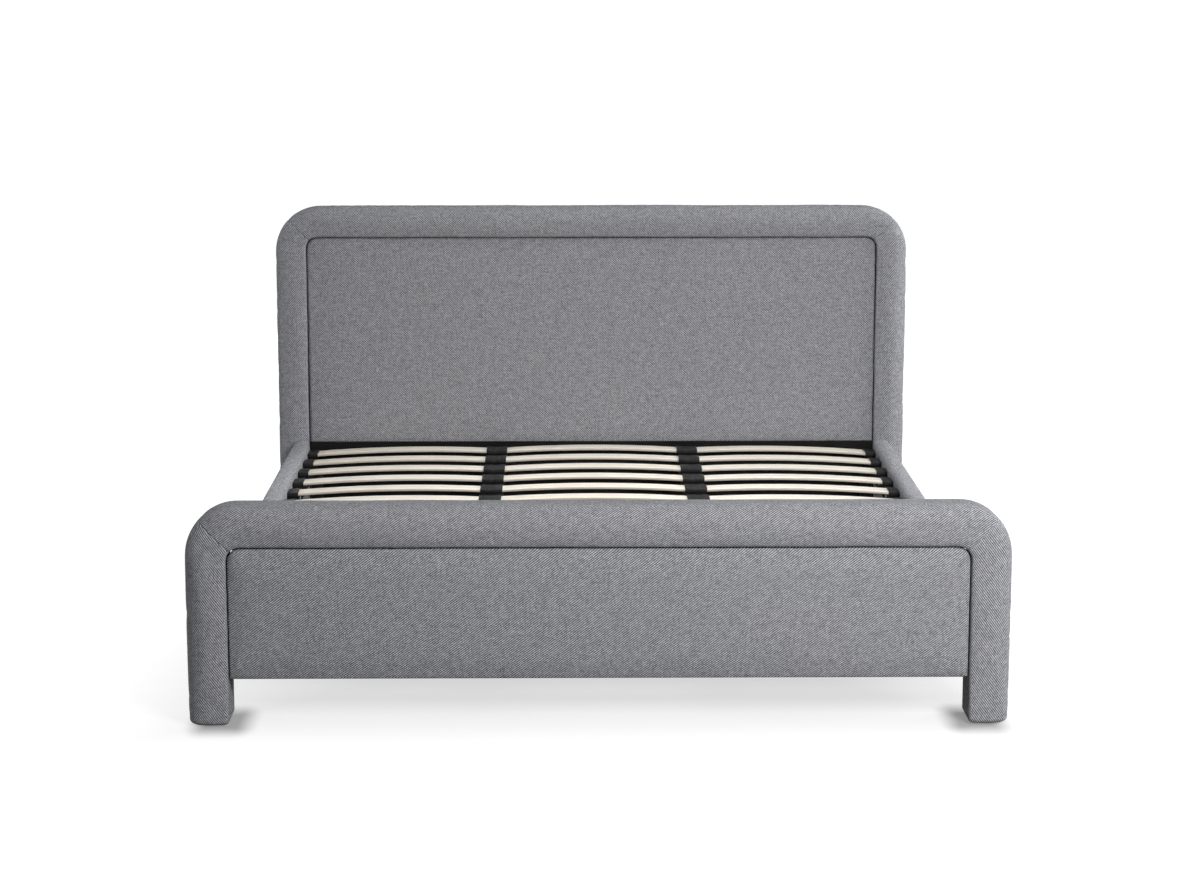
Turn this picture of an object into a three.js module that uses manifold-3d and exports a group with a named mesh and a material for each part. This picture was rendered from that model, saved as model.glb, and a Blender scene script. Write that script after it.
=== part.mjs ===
// Upholstered bed frame: padded headboard and footboard, two padded side rails and a slatted base.
// Millimetres, +Z up. The bed stands on z = 0, +Y points to the head end, and the origin is under
// the middle of the whole bed.
import * as THREE from 'three';
import { mergeVertices } from 'three/addons/utils/BufferGeometryUtils.js';
import Module from 'manifold-3d';

const wasm = await Module();
wasm.setup();

// ---- driving dimensions ------------------------------------------------------------------------
const gap = 0.3; // clearance between touching pieces
const overallWidth = 2040;
const overallLength = 2290;
const groundClearance = 120; // underside of panels and side rails

const head = { height: 1090, depth: 100, border: 99, corner: 145, back: 4 };
const foot = { height: 555, depth: 130, border: 102, corner: 122, back: 12 };
const seamCorner = 35; // corner radius of the line where border and panel meet
const rollEdge = 24; // how far the rounded long edges of a border turn in
const rollDepth = 30;
const panelSetBack = 5;
const panelDepth = 35;
const frontPadding = 30;
const outerPadding = 22;
const frameMember = 58; // width of the timber posts and top rail
const stile = 50;

const railTop = 330;
const railOuter = 972; // distance of the side rail's outer face from the middle of the bed
const railThickness = 54;
const railRounding = 13;
const endRailThickness = 14;
const endRailBottom = 130;
const endRailTop = 326;

const rows = 13;
const rowPitch = 160;
const slatWidth = 63;
const slatThickness = 8;
const slatBow = 10;
const slatSideEnd = 300; // height of a slat's upper face at the side rail
const slatInnerEnd = 311; // and at a centre rail

const capLength = 70; // along the bed
const capWall = 3.5;
const capReach = 33; // from the side rail's face, or from the middle of a centre rail
const capBite = 1; // how far a cap's foot sinks into the batten it is joined to
const capWeb = 8; // half the solid wall between the two pockets of a double cap
const ledger = { width: 28, height: 40 };
const centreRailX = 307;
const centreRail = { width: 60, height: 50 };

const supportPost = 48;
const supportPlate = { width: 58, length: 120, thickness: 4 };
const supportLegBottom = 22;
const levellingFoot = { radius: 22, height: 8, stemRadius: 5, stemTop: 45, boreRadius: 5.4, boreTop: 62 };

// ---- values worked out from them ---------------------------------------------------------------
const headFront = overallLength / 2 - head.depth;
const footFront = -overallLength / 2;
const footBack = footFront + foot.depth;
const innerLength = headFront - footBack;
const middleY = (headFront + footBack) / 2;
const railInner = railOuter - railThickness;
const deckHalfLength = innerLength / 2 - endRailThickness - 2 * gap;
const sideCapBottom = slatSideEnd - slatThickness - capWall;
const innerCapBottom = slatInnerEnd - slatThickness - capWall;
const centreRailBottom = innerCapBottom - centreRail.height;
const sideSlat = { from: centreRailX + capWeb + gap, to: railInner - capWall - gap };
const centreSlatEnd = centreRailX - capWeb - gap;

// ---- finishes ----------------------------------------------------------------------------------
const finishes = {
  fabric: { color: 0x85868b, roughness: 0.95, metalness: 0 },
  timber: { color: 0xc9a878, roughness: 0.7, metalness: 0 },
  birch: { color: 0xe6dfcd, roughness: 0.5, metalness: 0 },
  black: { color: 0x1b1918, roughness: 0.7, metalness: 0 },
  plastic: { color: 0x232323, roughness: 0.6, metalness: 0 },
};

// ---- geometry helpers --------------------------------------------------------------------------

// A closed three.js geometry as a manifold solid.
function solid(geometry) {
  const bare = new THREE.BufferGeometry();
  bare.setAttribute('position', geometry.getAttribute('position').clone());
  if (geometry.index) bare.setIndex(geometry.index.clone());
  const merged = mergeVertices(bare, 1e-4);
  const vertProperties = new Float32Array(merged.getAttribute('position').array);
  const triVerts = new Uint32Array(merged.index.array);
  return new wasm.Manifold(new wasm.Mesh({ numProp: 3, vertProperties, triVerts }));
}

// A manifold solid as a named mesh.
function piece(name, body, finish) {
  const surface = body.getMesh();
  const geometry = new THREE.BufferGeometry();
  const positions = new Float32Array(surface.vertProperties);
  geometry.setAttribute('position', new THREE.BufferAttribute(positions, 3));
  geometry.setIndex(new THREE.BufferAttribute(new Uint32Array(surface.triVerts), 1));
  geometry.computeVertexNormals();
  const mesh = new THREE.Mesh(geometry, new THREE.MeshStandardMaterial(finishes[finish]));
  mesh.name = name;
  return mesh;
}

function block(x0, x1, y0, y1, z0, z1) {
  const geometry = new THREE.BoxGeometry(x1 - x0, y1 - y0, z1 - z0);
  geometry.translate((x0 + x1) / 2, (y0 + y1) / 2, (z0 + z1) / 2);
  return solid(geometry);
}

// A shape drawn in X and Z, made solid from y0 to y1. Its long edges may be rounded.
function slab(shape, y0, y1, edge = 0, edgeDepth = 0, curveSegments = 8) {
  const geometry = new THREE.ExtrudeGeometry(shape, {
    depth: y1 - y0 - 2 * edgeDepth,
    bevelEnabled: edge > 0,
    bevelSize: edge,
    bevelOffset: -edge,
    bevelThickness: edgeDepth,
    bevelSegments: 4,
    curveSegments,
  });
  geometry.rotateX(Math.PI / 2);
  geometry.translate(0, y1 - edgeDepth, 0);
  return solid(geometry);
}

// A rectangle standing on z0 with round upper corners.
function archedShape(halfWidth, z0, z1, radius) {
  const shape = new THREE.Shape();
  shape.moveTo(-halfWidth, z0);
  shape.lineTo(halfWidth, z0);
  shape.lineTo(halfWidth, z1 - radius);
  shape.absarc(halfWidth - radius, z1 - radius, radius, 0, Math.PI / 2, false);
  shape.lineTo(-halfWidth + radius, z1);
  shape.absarc(-halfWidth + radius, z1 - radius, radius, Math.PI / 2, Math.PI, false);
  return shape;
}

// The outline of a head- or footboard: two legs with a gap between, and round upper corners.
function boardShape(board) {
  const half = overallWidth / 2;
  const legInner = half - board.border;
  const arcX = half - board.corner;
  const arcZ = board.height - board.corner;
  const shape = new THREE.Shape();
  shape.moveTo(-half, 0);
  shape.lineTo(-legInner, 0);
  shape.lineTo(-legInner, groundClearance);
  shape.lineTo(legInner, groundClearance);
  shape.lineTo(legInner, 0);
  shape.lineTo(half, 0);
  shape.lineTo(half, arcZ);
  shape.absarc(arcX, arcZ, board.corner, 0, Math.PI / 2, false);
  shape.lineTo(-arcX, board.height);
  shape.absarc(-arcX, arcZ, board.corner, Math.PI / 2, Math.PI, false);
  return shape;
}

// ---- headboard and footboard -------------------------------------------------------------------

// Timber frame inside a board: posts that run down into the legs, a round-cornered top rail, a
// bottom rail and upright stiles. grow makes every member that much thicker all round.
function boardFrame(board, front, grow) {
  const half = overallWidth / 2 - outerPadding;
  const inner = half - frameMember;
  const y0 = front + frontPadding + gap - grow;
  const y1 = front + board.depth - board.back - gap + grow;
  const crossFront = front + panelSetBack + panelDepth + gap - grow;
  const top = board.height - outerPadding;
  const outerCorner = board.corner - outerPadding;
  const innerCorner = Math.max(outerCorner - frameMember, seamCorner);
  const outer = archedShape(half + grow, 10 - grow, top + grow, outerCorner + grow);
  const hollow = archedShape(inner - grow, -20, top - frameMember - grow, innerCorner - grow);
  const bottomRail = block(-inner - 5, inner + 5, crossFront, y1,
    groundClearance + 8 - grow, groundClearance + 78 + grow);
  let frame = slab(outer, y0, y1).subtract(slab(hollow, y0 - 1, y1 + 1)).add(bottomRail);
  for (const x of [-inner / 2, 0, inner / 2]) {
    const reach = stile / 2 + grow;
    frame = frame.add(block(x - reach, x + reach, crossFront, y1,
      groundClearance + 40, top - frameMember / 2));
  }
  return frame;
}

// Foam and fabric roll round the sides and the top, hollow for the frame. A footboard's roll also
// carries the fabric back that faces the mattress.
function boardBorder(board, front, hasBack) {
  const back = front + board.depth;
  const body = slab(boardShape(board), front, back, rollEdge, rollDepth);
  const seam = archedShape(overallWidth / 2 - board.border, -20, board.height - board.border, seamCorner);
  const recessEnd = hasBack ? back - board.back : back + 1;
  let border = body.subtract(slab(seam, front - 1, recessEnd));
  border = border.subtract(boardFrame(board, front, gap));
  if (!hasBack) border = border.subtract(slab(backCoverShape(gap), back - board.back - gap, back + 1));
  return border;
}

function boardPanel(board, front) {
  const half = overallWidth / 2 - board.border - gap;
  const top = board.height - board.border - gap;
  const shape = archedShape(half, groundClearance, top, seamCorner);
  const start = front + panelSetBack;
  return slab(shape, start, start + panelDepth, 10, 12, 6);
}

function backCoverShape(grow) {
  const half = overallWidth / 2 - rollEdge - 16;
  const top = head.height - rollEdge - 16;
  return archedShape(half + grow, groundClearance + 2 - grow, top + grow, head.corner - 40);
}

function headboard() {
  const group = new THREE.Group();
  const back = headFront + head.depth;
  group.add(piece('headboard_frame', boardFrame(head, headFront, 0), 'timber'));
  group.add(piece('headboard_border', boardBorder(head, headFront, false), 'fabric'));
  group.add(piece('headboard_panel', boardPanel(head, headFront), 'fabric'));
  group.add(piece('headboard_back_cover', slab(backCoverShape(0), back - head.back, back), 'fabric'));
  return group;
}

function footboard() {
  const group = new THREE.Group();
  group.add(piece('footboard_frame', boardFrame(foot, footFront, 0), 'timber'));
  group.add(piece('footboard_border', boardBorder(foot, footFront, true), 'fabric'));
  group.add(piece('footboard_panel', boardPanel(foot, footFront), 'fabric'));
  return group;
}

// ---- side rails --------------------------------------------------------------------------------

// Plank on edge inside each side rail, standing under the padded cover.
function railCore() {
  const half = innerLength / 2 - gap;
  return block(railInner + 8 + gap, railOuter - 14 - gap, -half, half,
    groundClearance + 1, railTop - 14 - gap);
}

// Foam and fabric folded over the plank, open underneath.
function railCover() {
  const half = innerLength / 2 - gap;
  const r = railRounding;
  const shape = new THREE.Shape();
  shape.moveTo(railInner, groundClearance);
  shape.lineTo(railInner + 8, groundClearance);
  shape.lineTo(railInner + 8, railTop - 14);
  shape.lineTo(railOuter - 14, railTop - 14);
  shape.lineTo(railOuter - 14, groundClearance);
  shape.lineTo(railOuter, groundClearance);
  shape.lineTo(railOuter, railTop - r);
  shape.absarc(railOuter - r, railTop - r, r, 0, Math.PI / 2, false);
  shape.lineTo(railInner + r, railTop);
  shape.absarc(railInner + r, railTop - r, r, Math.PI / 2, Math.PI, false);
  return slab(shape, -half, half);
}

// ---- slats, their caps and what carries them -----------------------------------------------------

// A slat seen from the foot end: bowed upwards between its ends. grow makes it thicker all round.
function slatBody(x0, z0, x1, z1, grow = 0) {
  const middle = (x0 + x1) / 2;
  const control = (z0 + z1) / 2 + 2 * slatBow;
  const under = slatThickness + grow;
  const shape = new THREE.Shape();
  shape.moveTo(x0 - grow, z0 - under);
  shape.quadraticCurveTo(middle, control - under, x1 + grow, z1 - under);
  shape.lineTo(x1 + grow, z1 + grow);
  shape.quadraticCurveTo(middle, control + grow, x0 - grow, z0 + grow);
  return slab(shape, -slatWidth / 2 - grow, slatWidth / 2 + grow, 0, 0, 8);
}

function sideSlatBody(grow) {
  return slatBody(sideSlat.from, slatInnerEnd, sideSlat.to, slatSideEnd, grow);
}

function centreSlatBody(grow) {
  return slatBody(-centreSlatEnd, slatInnerEnd, centreSlatEnd, slatInnerEnd, grow);
}

function rowPositions() {
  return Array.from({ length: rows }, (_, row) => ((rows - 1) / 2 - row) * rowPitch);
}

// Batten along the inside of a side rail, with one pocketed cap for every slat.
function slatLedger() {
  const bottom = sideCapBottom - ledger.height;
  const outer = railInner - gap;
  const cap = block(railInner - capReach, outer, -capLength / 2, capLength / 2,
    sideCapBottom - capBite, slatSideEnd + capWall).subtract(sideSlatBody(gap));
  let body = block(railInner - ledger.width, outer, -deckHalfLength, deckHalfLength,
    bottom, sideCapBottom);
  for (const y of rowPositions()) body = body.add(cap.translate([0, y, 0]));
  return body;
}

// Beam under the joint of two slat columns, with a double-ended cap for every row.
function slatCentreRail() {
  const cap = block(centreRailX - capReach, centreRailX + capReach, -capLength / 2, capLength / 2,
    innerCapBottom - capBite, slatInnerEnd + capWall).subtract(sideSlatBody(gap))
    .subtract(centreSlatBody(gap));
  let body = block(centreRailX - centreRail.width / 2, centreRailX + centreRail.width / 2,
    -deckHalfLength, deckHalfLength, centreRailBottom, innerCapBottom);
  for (const y of rowPositions()) body = body.add(cap.translate([0, y, 0]));
  return body;
}

// Black board across the bed at each end of the slatted base.
function endRail(y0) {
  const half = railInner - gap;
  return block(-half, half, y0, y0 + endRailThickness, endRailBottom, endRailTop);
}

// ---- centre supports ---------------------------------------------------------------------------

function turned(profile, segments) {
  const points = profile.map(([radius, z]) => new THREE.Vector2(radius, z));
  const geometry = new THREE.LatheGeometry(points, segments);
  geometry.rotateX(Math.PI / 2);
  return solid(geometry);
}

// Square post with a screw plate on top and a bore for the levelling foot's stem.
function supportLeg() {
  const top = centreRailBottom - gap;
  const half = supportPost / 2;
  const plate = supportPlate;
  const post = block(-half, half, -half, half, supportLegBottom, top - plate.thickness / 2);
  const flange = block(-plate.width / 2, plate.width / 2, -plate.length / 2, plate.length / 2,
    top - plate.thickness, top);
  const { boreRadius, boreTop } = levellingFoot;
  const bore = turned([[0, supportLegBottom - 5], [boreRadius, supportLegBottom - 5],
    [boreRadius, boreTop], [0, boreTop]], 24);
  return post.add(flange).subtract(bore);
}

// Round foot on a threaded stem.
function footScrew() {
  const { radius, height, stemRadius, stemTop } = levellingFoot;
  return turned([[0, 0], [radius - 2, 0], [radius, 2], [radius, height - 2], [radius - 3, height],
    [stemRadius, height], [stemRadius, stemTop], [0, stemTop]], 24);
}

// ---- assembly ----------------------------------------------------------------------------------

// One long side of the bed. It is the same on the left and the right, turned half round.
function longSide(side) {
  const group = new THREE.Group();
  group.position.set(0, middleY, 0);
  group.rotation.z = side === 'right' ? 0 : Math.PI;
  group.add(piece(`side_rail_${side}`, railCore(), 'timber'));
  group.add(piece(`side_rail_cover_${side}`, railCover(), 'fabric'));
  group.add(piece(`slat_ledger_${side}`, slatLedger(), 'black'));
  group.add(piece(`centre_rail_${side}`, slatCentreRail(), 'black'));
  const leg = piece(`support_leg_${side}`, supportLeg(), 'black');
  const screw = piece(`levelling_foot_${side}`, footScrew(), 'plastic');
  leg.position.x = centreRailX;
  screw.position.x = centreRailX;
  group.add(leg, screw);
  return group;
}

function slatDeck() {
  const group = new THREE.Group();
  group.position.set(0, middleY, 0);
  rowPositions().forEach((y, row) => {
    const number = String(row + 1).padStart(2, '0');
    for (const column of ['left', 'centre', 'right']) {
      const body = column === 'centre' ? centreSlatBody(0) : sideSlatBody(0);
      const slat = piece(`slat_${column}_${number}`, body, 'birch');
      slat.position.y = y;
      slat.rotation.z = column === 'left' ? Math.PI : 0;
      group.add(slat);
    }
  });
  return group;
}

const bed = new THREE.Group();
bed.add(headboard(), footboard(), longSide('left'), longSide('right'), slatDeck());
bed.add(piece('head_rail', endRail(headFront - gap - endRailThickness), 'black'));
bed.add(piece('foot_rail', endRail(footBack + gap), 'black'));

export default bed;
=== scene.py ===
import math

import bmesh
import bpy
import numpy as np
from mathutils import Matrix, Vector, noise


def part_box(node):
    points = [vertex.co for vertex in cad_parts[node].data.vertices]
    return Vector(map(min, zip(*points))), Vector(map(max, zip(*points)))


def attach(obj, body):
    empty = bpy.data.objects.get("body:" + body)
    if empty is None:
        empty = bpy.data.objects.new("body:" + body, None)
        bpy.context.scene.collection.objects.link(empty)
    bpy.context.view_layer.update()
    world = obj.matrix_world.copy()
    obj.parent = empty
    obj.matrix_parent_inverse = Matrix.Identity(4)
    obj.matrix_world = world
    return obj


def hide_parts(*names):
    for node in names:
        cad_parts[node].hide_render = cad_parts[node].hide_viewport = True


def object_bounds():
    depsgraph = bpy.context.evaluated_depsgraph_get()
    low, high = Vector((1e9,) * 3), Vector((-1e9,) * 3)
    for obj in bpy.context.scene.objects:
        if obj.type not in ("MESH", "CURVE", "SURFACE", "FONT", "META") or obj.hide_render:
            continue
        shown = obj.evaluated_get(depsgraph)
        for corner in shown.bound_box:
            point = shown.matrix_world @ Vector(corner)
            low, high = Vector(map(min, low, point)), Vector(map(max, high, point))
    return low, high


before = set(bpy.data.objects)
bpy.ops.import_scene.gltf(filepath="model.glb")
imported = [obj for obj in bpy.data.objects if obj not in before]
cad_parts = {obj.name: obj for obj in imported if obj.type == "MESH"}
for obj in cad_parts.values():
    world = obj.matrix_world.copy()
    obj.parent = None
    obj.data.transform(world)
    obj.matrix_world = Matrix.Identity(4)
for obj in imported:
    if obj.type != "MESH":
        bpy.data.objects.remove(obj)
cad_low, cad_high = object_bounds()
scene = bpy.context.scene

# ---- Camera ----------------------------------------------------------------------------------
# A long lens at standing height in front of the foot end, a little left of the middle of the bed.

CAMERA_PLACE = Vector((-0.074, cad_low.y - 6.416, 1.884))
CAMERA_DOWN = math.radians(10.2)
CAMERA_RIGHT = math.radians(0.675)
CAMERA_LENS = 80.3

camera_data = bpy.data.cameras.new("front_camera")
camera_data.sensor_width = 36.0
camera_data.lens = CAMERA_LENS
camera = bpy.data.objects.new("front_camera", camera_data)
camera.location = CAMERA_PLACE
camera.rotation_euler = (math.pi / 2 - CAMERA_DOWN, 0.0, -CAMERA_RIGHT)
scene.collection.objects.link(camera)
scene.camera = camera

# ---- Timber frames and planks ----------------------------------------------------------------
# Bare sawn pine: a posts-and-rails frame inside each board and a plank on edge inside each side
# rail. They are glued and screwed, and the upholstery hides them all.


def calc(tree, operation, *values):
    """A maths node on sockets or plain numbers."""
    node = tree.nodes.new("ShaderNodeMath")
    node.operation = operation
    for socket, value in zip(node.inputs, values):
        if isinstance(value, (int, float)):
            socket.default_value = value
        else:
            tree.links.new(value, socket)
    return node.outputs[0]


def mix_colors(tree, amount, first, second, blend="MIX"):
    """A colour mix of two sockets or plain colours."""
    node = tree.nodes.new("ShaderNodeMix")
    node.data_type = "RGBA"
    node.blend_type = blend
    for socket, value in zip((node.inputs[0], node.inputs[6], node.inputs[7]), (amount, first, second)):
        if isinstance(value, bpy.types.NodeSocket):
            tree.links.new(value, socket)
        else:
            socket.default_value = value
    return node.outputs[2]


def ramp(tree, value, *stops):
    """A colour ramp through (position, colour) stops."""
    node = tree.nodes.new("ShaderNodeValToRGB")
    while len(node.color_ramp.elements) < len(stops):
        node.color_ramp.elements.new(0.5)
    for element, (position, color) in zip(node.color_ramp.elements, stops):
        element.position = position
        element.color = color
    tree.links.new(value, node.inputs[0])
    return node.outputs[0]


def noise_value(tree, coordinate, scale, detail=3.0, stretch=(1.0, 1.0, 1.0)):
    """Noise from 0 to 1 on a coordinate, drawn out along an axis where stretch is small."""
    mapping = tree.nodes.new("ShaderNodeMapping")
    mapping.inputs["Scale"].default_value = stretch
    texture = tree.nodes.new("ShaderNodeTexNoise")
    texture.inputs["Scale"].default_value = scale
    texture.inputs["Detail"].default_value = detail
    tree.links.new(coordinate, mapping.inputs["Vector"])
    tree.links.new(mapping.outputs[0], texture.inputs["Vector"])
    return texture.outputs["Fac"]


def new_group(name, inputs, outputs):
    """An empty shader node group with named sockets; returns the group and its two end nodes."""
    group = bpy.data.node_groups.new(name, "ShaderNodeTree")
    for direction, sockets in (("INPUT", inputs), ("OUTPUT", outputs)):
        for label, kind, value in sockets:
            socket = group.interface.new_socket(label, in_out=direction, socket_type=kind)
            if value is not None:
                socket.default_value = value
    return group, group.nodes.new("NodeGroupInput"), group.nodes.new("NodeGroupOutput")


def new_material(name, roughness, **constants):
    """A Principled material with constant values on the shader's own sockets."""
    material = bpy.data.materials.new(name)
    material.use_nodes = True
    shader = material.node_tree.nodes["Principled BSDF"]
    shader.inputs["Roughness"].default_value = roughness
    for label, value in constants.items():
        shader.inputs[label.replace("_", " ")].default_value = value
    return material, material.node_tree, shader


def place_group(tree, group, coordinate, **values):
    """A node group put into a material, with its own values."""
    node = tree.nodes.new("ShaderNodeGroup")
    node.node_tree = group
    tree.links.new(coordinate, node.inputs["Coordinate"])
    for label, value in values.items():
        node.inputs[label.replace("_", " ")].default_value = value
    return node


def object_coordinate(tree):
    return tree.nodes.new("ShaderNodeTexCoord").outputs["Object"]


def dimmed(tree, color, amount):
    """A colour or vector times a number."""
    node = tree.nodes.new("ShaderNodeVectorMath")
    node.operation = "SCALE"
    tree.links.new(color, node.inputs[0])
    tree.links.new(amount, node.inputs["Scale"])
    return node.outputs[0]


def raise_surface(tree, shader, height, distance, strength):
    """Feeds a height into the shader's normal."""
    bump = tree.nodes.new("ShaderNodeBump")
    bump.inputs["Strength"].default_value = strength
    bump.inputs["Distance"].default_value = distance
    tree.links.new(height, bump.inputs["Height"])
    tree.links.new(bump.outputs[0], shader.inputs["Normal"])


FLOAT = "NodeSocketFloat"
COLOR = "NodeSocketColor"
VECTOR = "NodeSocketVector"


def make_timber_grain():
    """Growth lines along X, with pores and a slow change of tone from piece to piece."""
    group, start, end = new_group(
        "timber_grain",
        [("Coordinate", VECTOR, None), ("Light", COLOR, (0.7, 0.6, 0.4, 1)),
         ("Dark", COLOR, (0.5, 0.35, 0.2, 1)), ("Fineness", FLOAT, 1.0)],
        [("Color", COLOR, None), ("Height", FLOAT, None)],
    )
    place = dimmed(group, start.outputs["Coordinate"], start.outputs["Fineness"])
    lines = noise_value(group, place, 1.0, 4.0, (3.0, 160.0, 160.0))
    bands = noise_value(group, place, 1.0, 2.0, (1.2, 28.0, 28.0))
    pores = noise_value(group, place, 1.0, 2.0, (40.0, 900.0, 900.0))
    tone = calc(group, "ADD", calc(group, "MULTIPLY", lines, 0.55), calc(group, "MULTIPLY", bands, 0.45))
    mask = ramp(group, tone, (0.36, (0, 0, 0, 1)), (0.66, (1, 1, 1, 1)))
    color = mix_colors(group, mask, start.outputs["Light"], start.outputs["Dark"])
    speck = calc(group, "MULTIPLY_ADD", pores, 0.24, 0.88)
    group.links.new(dimmed(group, color, speck), end.inputs["Color"])
    group.links.new(calc(group, "ADD", lines, pores), end.inputs["Height"])
    return group


timber_grain = make_timber_grain()


def make_pine():
    material, tree, shader = new_material("sawn_pine", 0.75)
    grain = place_group(tree, timber_grain, object_coordinate(tree),
                        Light=(0.62, 0.43, 0.24, 1), Dark=(0.42, 0.25, 0.12, 1), Fineness=0.8)
    tree.links.new(grain.outputs["Color"], shader.inputs["Base Color"])
    raise_surface(tree, shader, grain.outputs["Height"], 0.0004, 0.5)
    return material


sawn_pine = make_pine()


def finish_cad_node(node, material):
    """Gives a CAD node that stays in the picture its real finish."""
    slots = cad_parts[node].data.materials
    slots.clear()
    slots.append(material)


for timber_node in ("headboard_frame", "footboard_frame", "side_rail_left", "side_rail_right"):
    finish_cad_node(timber_node, sawn_pine)

# ---- Borders -----------------------------------------------------------------------------------
# Foam rolls over the frames, covered in a coarse two-tone grey weave. Each runs up one leg, over
# the top and down the other, is mitred at the upper corners and is closed by hand under the legs.

HELD_AT_SEAM, HELD_AT_BACK, HELD_AT_FLOOR = 0.012, 0.035, 0.030
GLIDE_HEIGHT = 0.004
TOE_RADIUS = 0.012
SEAM_RADIUS = 0.035
SEAM_PINCH = 0.0012  # how far each side of a seam stands back from it
MITRE_HALF_WIDTH = 0.0018
STATION_STEP = 0.012
CLOTH_FRAMES = 10
CLOTH_PRESSURE = 1.5
CLOTH_EASE = 0.004  # extra cloth, as a share of its length
CLOTH_LIMIT = 0.0025  # the furthest that a point may settle


def make_coarse_weave():
    """Two-over-two twill, light warp over dark weft, with painted shade where threads round off and dip
    under. Paired threads rise together, and vary in tone.
    """
    group, start, end = new_group(
        "coarse_weave",
        [("Coordinate", VECTOR, None), ("Warp", COLOR, (0.4, 0.4, 0.4, 1)),
         ("Weft", COLOR, (0.1, 0.1, 0.1, 1)), ("Warp Pitch", FLOAT, 0.00198),
         ("Weft Pitch", FLOAT, 0.00147), ("Pairing", FLOAT, 0.22)],
        [("Color", COLOR, None), ("Height", FLOAT, None)],
    )
    place = start.outputs["Coordinate"]
    wander = group.nodes.new("ShaderNodeTexNoise")
    wander.inputs["Scale"].default_value = 110.0
    wander.inputs["Detail"].default_value = 2.0
    group.links.new(place, wander.inputs["Vector"])
    offset = group.nodes.new("ShaderNodeVectorMath")
    offset.operation = "MULTIPLY_ADD"
    group.links.new(wander.outputs["Color"], offset.inputs[0])
    offset.inputs[1].default_value = (0.0011, 0.0011, 0.0)
    group.links.new(place, offset.inputs[2])
    split = group.nodes.new("ShaderNodeSeparateXYZ")
    group.links.new(offset.outputs[0], split.inputs[0])
    across = calc(group, "DIVIDE", split.outputs["X"], start.outputs["Warp Pitch"])
    along = calc(group, "DIVIDE", split.outputs["Y"], start.outputs["Weft Pitch"])
    column = calc(group, "FLOOR", across)
    row = calc(group, "FLOOR", along)
    x = calc(group, "SUBTRACT", calc(group, "FRACT", across), 0.5)
    y = calc(group, "SUBTRACT", calc(group, "FRACT", along), 0.5)
    step = calc(group, "FLOORED_MODULO", calc(group, "SUBTRACT", column, row), 4.0)
    weft_up = calc(group, "LESS_THAN", step, 1.5)

    def thread(side, length, first, last):
        """Rounded across, and dipping under at both ends of its float."""
        slope = calc(group, "ABSOLUTE", calc(group, "MULTIPLY", side, 1.8))
        round_side = calc(group, "SUBTRACT", 1.0, calc(group, "POWER", slope, 2.0))
        before = calc(group, "MAXIMUM", calc(group, "MULTIPLY", length, -1.0), 0.0)
        after = calc(group, "MAXIMUM", length, 0.0)
        dip = calc(group, "ADD", calc(group, "MULTIPLY", first, after),
                   calc(group, "MULTIPLY", last, before))
        ends = calc(group, "SUBTRACT", 1.0, calc(group, "POWER", calc(group, "MULTIPLY", dip, 1.7), 2.0))
        return calc(group, "MAXIMUM", calc(group, "MULTIPLY", round_side, ends), 0.0)

    weft_last, weft_first, warp_first, warp_last = [
        calc(group, "COMPARE", step, place_in_repeat, 0.1) for place_in_repeat in (0.0, 1.0, 2.0, 3.0)]
    weft_height = calc(group, "MULTIPLY", thread(y, x, weft_first, weft_last), weft_up)
    warp_up = calc(group, "SUBTRACT", 1.0, weft_up)
    warp_height = calc(group, "MULTIPLY", thread(x, y, warp_first, warp_last), warp_up)
    height = calc(group, "ADD", warp_height, weft_height)
    pair_column = calc(group, "FLOOR", calc(group, "MULTIPLY", column, 0.5))
    pair_row = calc(group, "FLOOR", calc(group, "MULTIPLY", row, 0.5))
    pair = calc(group, "PINGPONG", calc(group, "ADD", pair_column, pair_row), 1.0)
    thread_id = group.nodes.new("ShaderNodeCombineXYZ")
    group.links.new(pair_column, thread_id.inputs[0])
    group.links.new(pair_row, thread_id.inputs[1])
    knot = group.nodes.new("ShaderNodeTexWhiteNoise")
    group.links.new(thread_id.outputs[0], knot.inputs["Vector"])
    slub_warp = noise_value(group, place, 1.0, 3.0, (150.0, 40.0, 1.0))
    slub_weft = noise_value(group, place, 1.0, 3.0, (40.0, 170.0, 1.0))
    cloud = noise_value(group, place, 26.0, 4.0)
    color = mix_colors(group, weft_up, start.outputs["Warp"], start.outputs["Weft"])
    tone = calc(group, "MULTIPLY_ADD", knot.outputs["Value"], 0.36, 0.12)
    tone = calc(group, "MULTIPLY_ADD", slub_warp, 0.62, tone)
    tone = calc(group, "MULTIPLY_ADD", slub_weft, 0.62, tone)
    tone = calc(group, "MULTIPLY_ADD", cloud, 0.16, tone)
    # Painted shade: each thread's colour darkens with its height, towards its sides and where it dips
    # under.
    tone = calc(group, "MULTIPLY", tone, calc(group, "MULTIPLY_ADD", height, 0.50, 0.66))
    tone = calc(group, "MULTIPLY", tone, calc(group, "MULTIPLY_ADD", pair, start.outputs["Pairing"], 0.89))
    group.links.new(dimmed(group, color, tone), end.inputs["Color"])
    group.links.new(calc(group, "MULTIPLY_ADD", pair, 0.25, height), end.inputs["Height"])
    return group


coarse_weave = make_coarse_weave()


def make_grey_fabric():
    """Upholstery cloth. Its weave follows the piece's UV map, which is in metres."""
    material, tree, shader = new_material(
        "grey_weave", 0.92, Sheen_Weight=0.03, Sheen_Roughness=0.5, Specular_IOR_Level=0.12)
    uv_map = tree.nodes.new("ShaderNodeUVMap")
    uv_map.uv_map = "cloth"
    weave = place_group(tree, coarse_weave, uv_map.outputs[0],
                        Warp=(0.60, 0.61, 0.65, 1), Weft=(0.125, 0.127, 0.136, 1))
    tree.links.new(weave.outputs["Color"], shader.inputs["Base Color"])
    raise_surface(tree, shader, weave.outputs["Height"], 0.0008, 0.45)
    return material


grey_fabric = make_grey_fabric()


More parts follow.
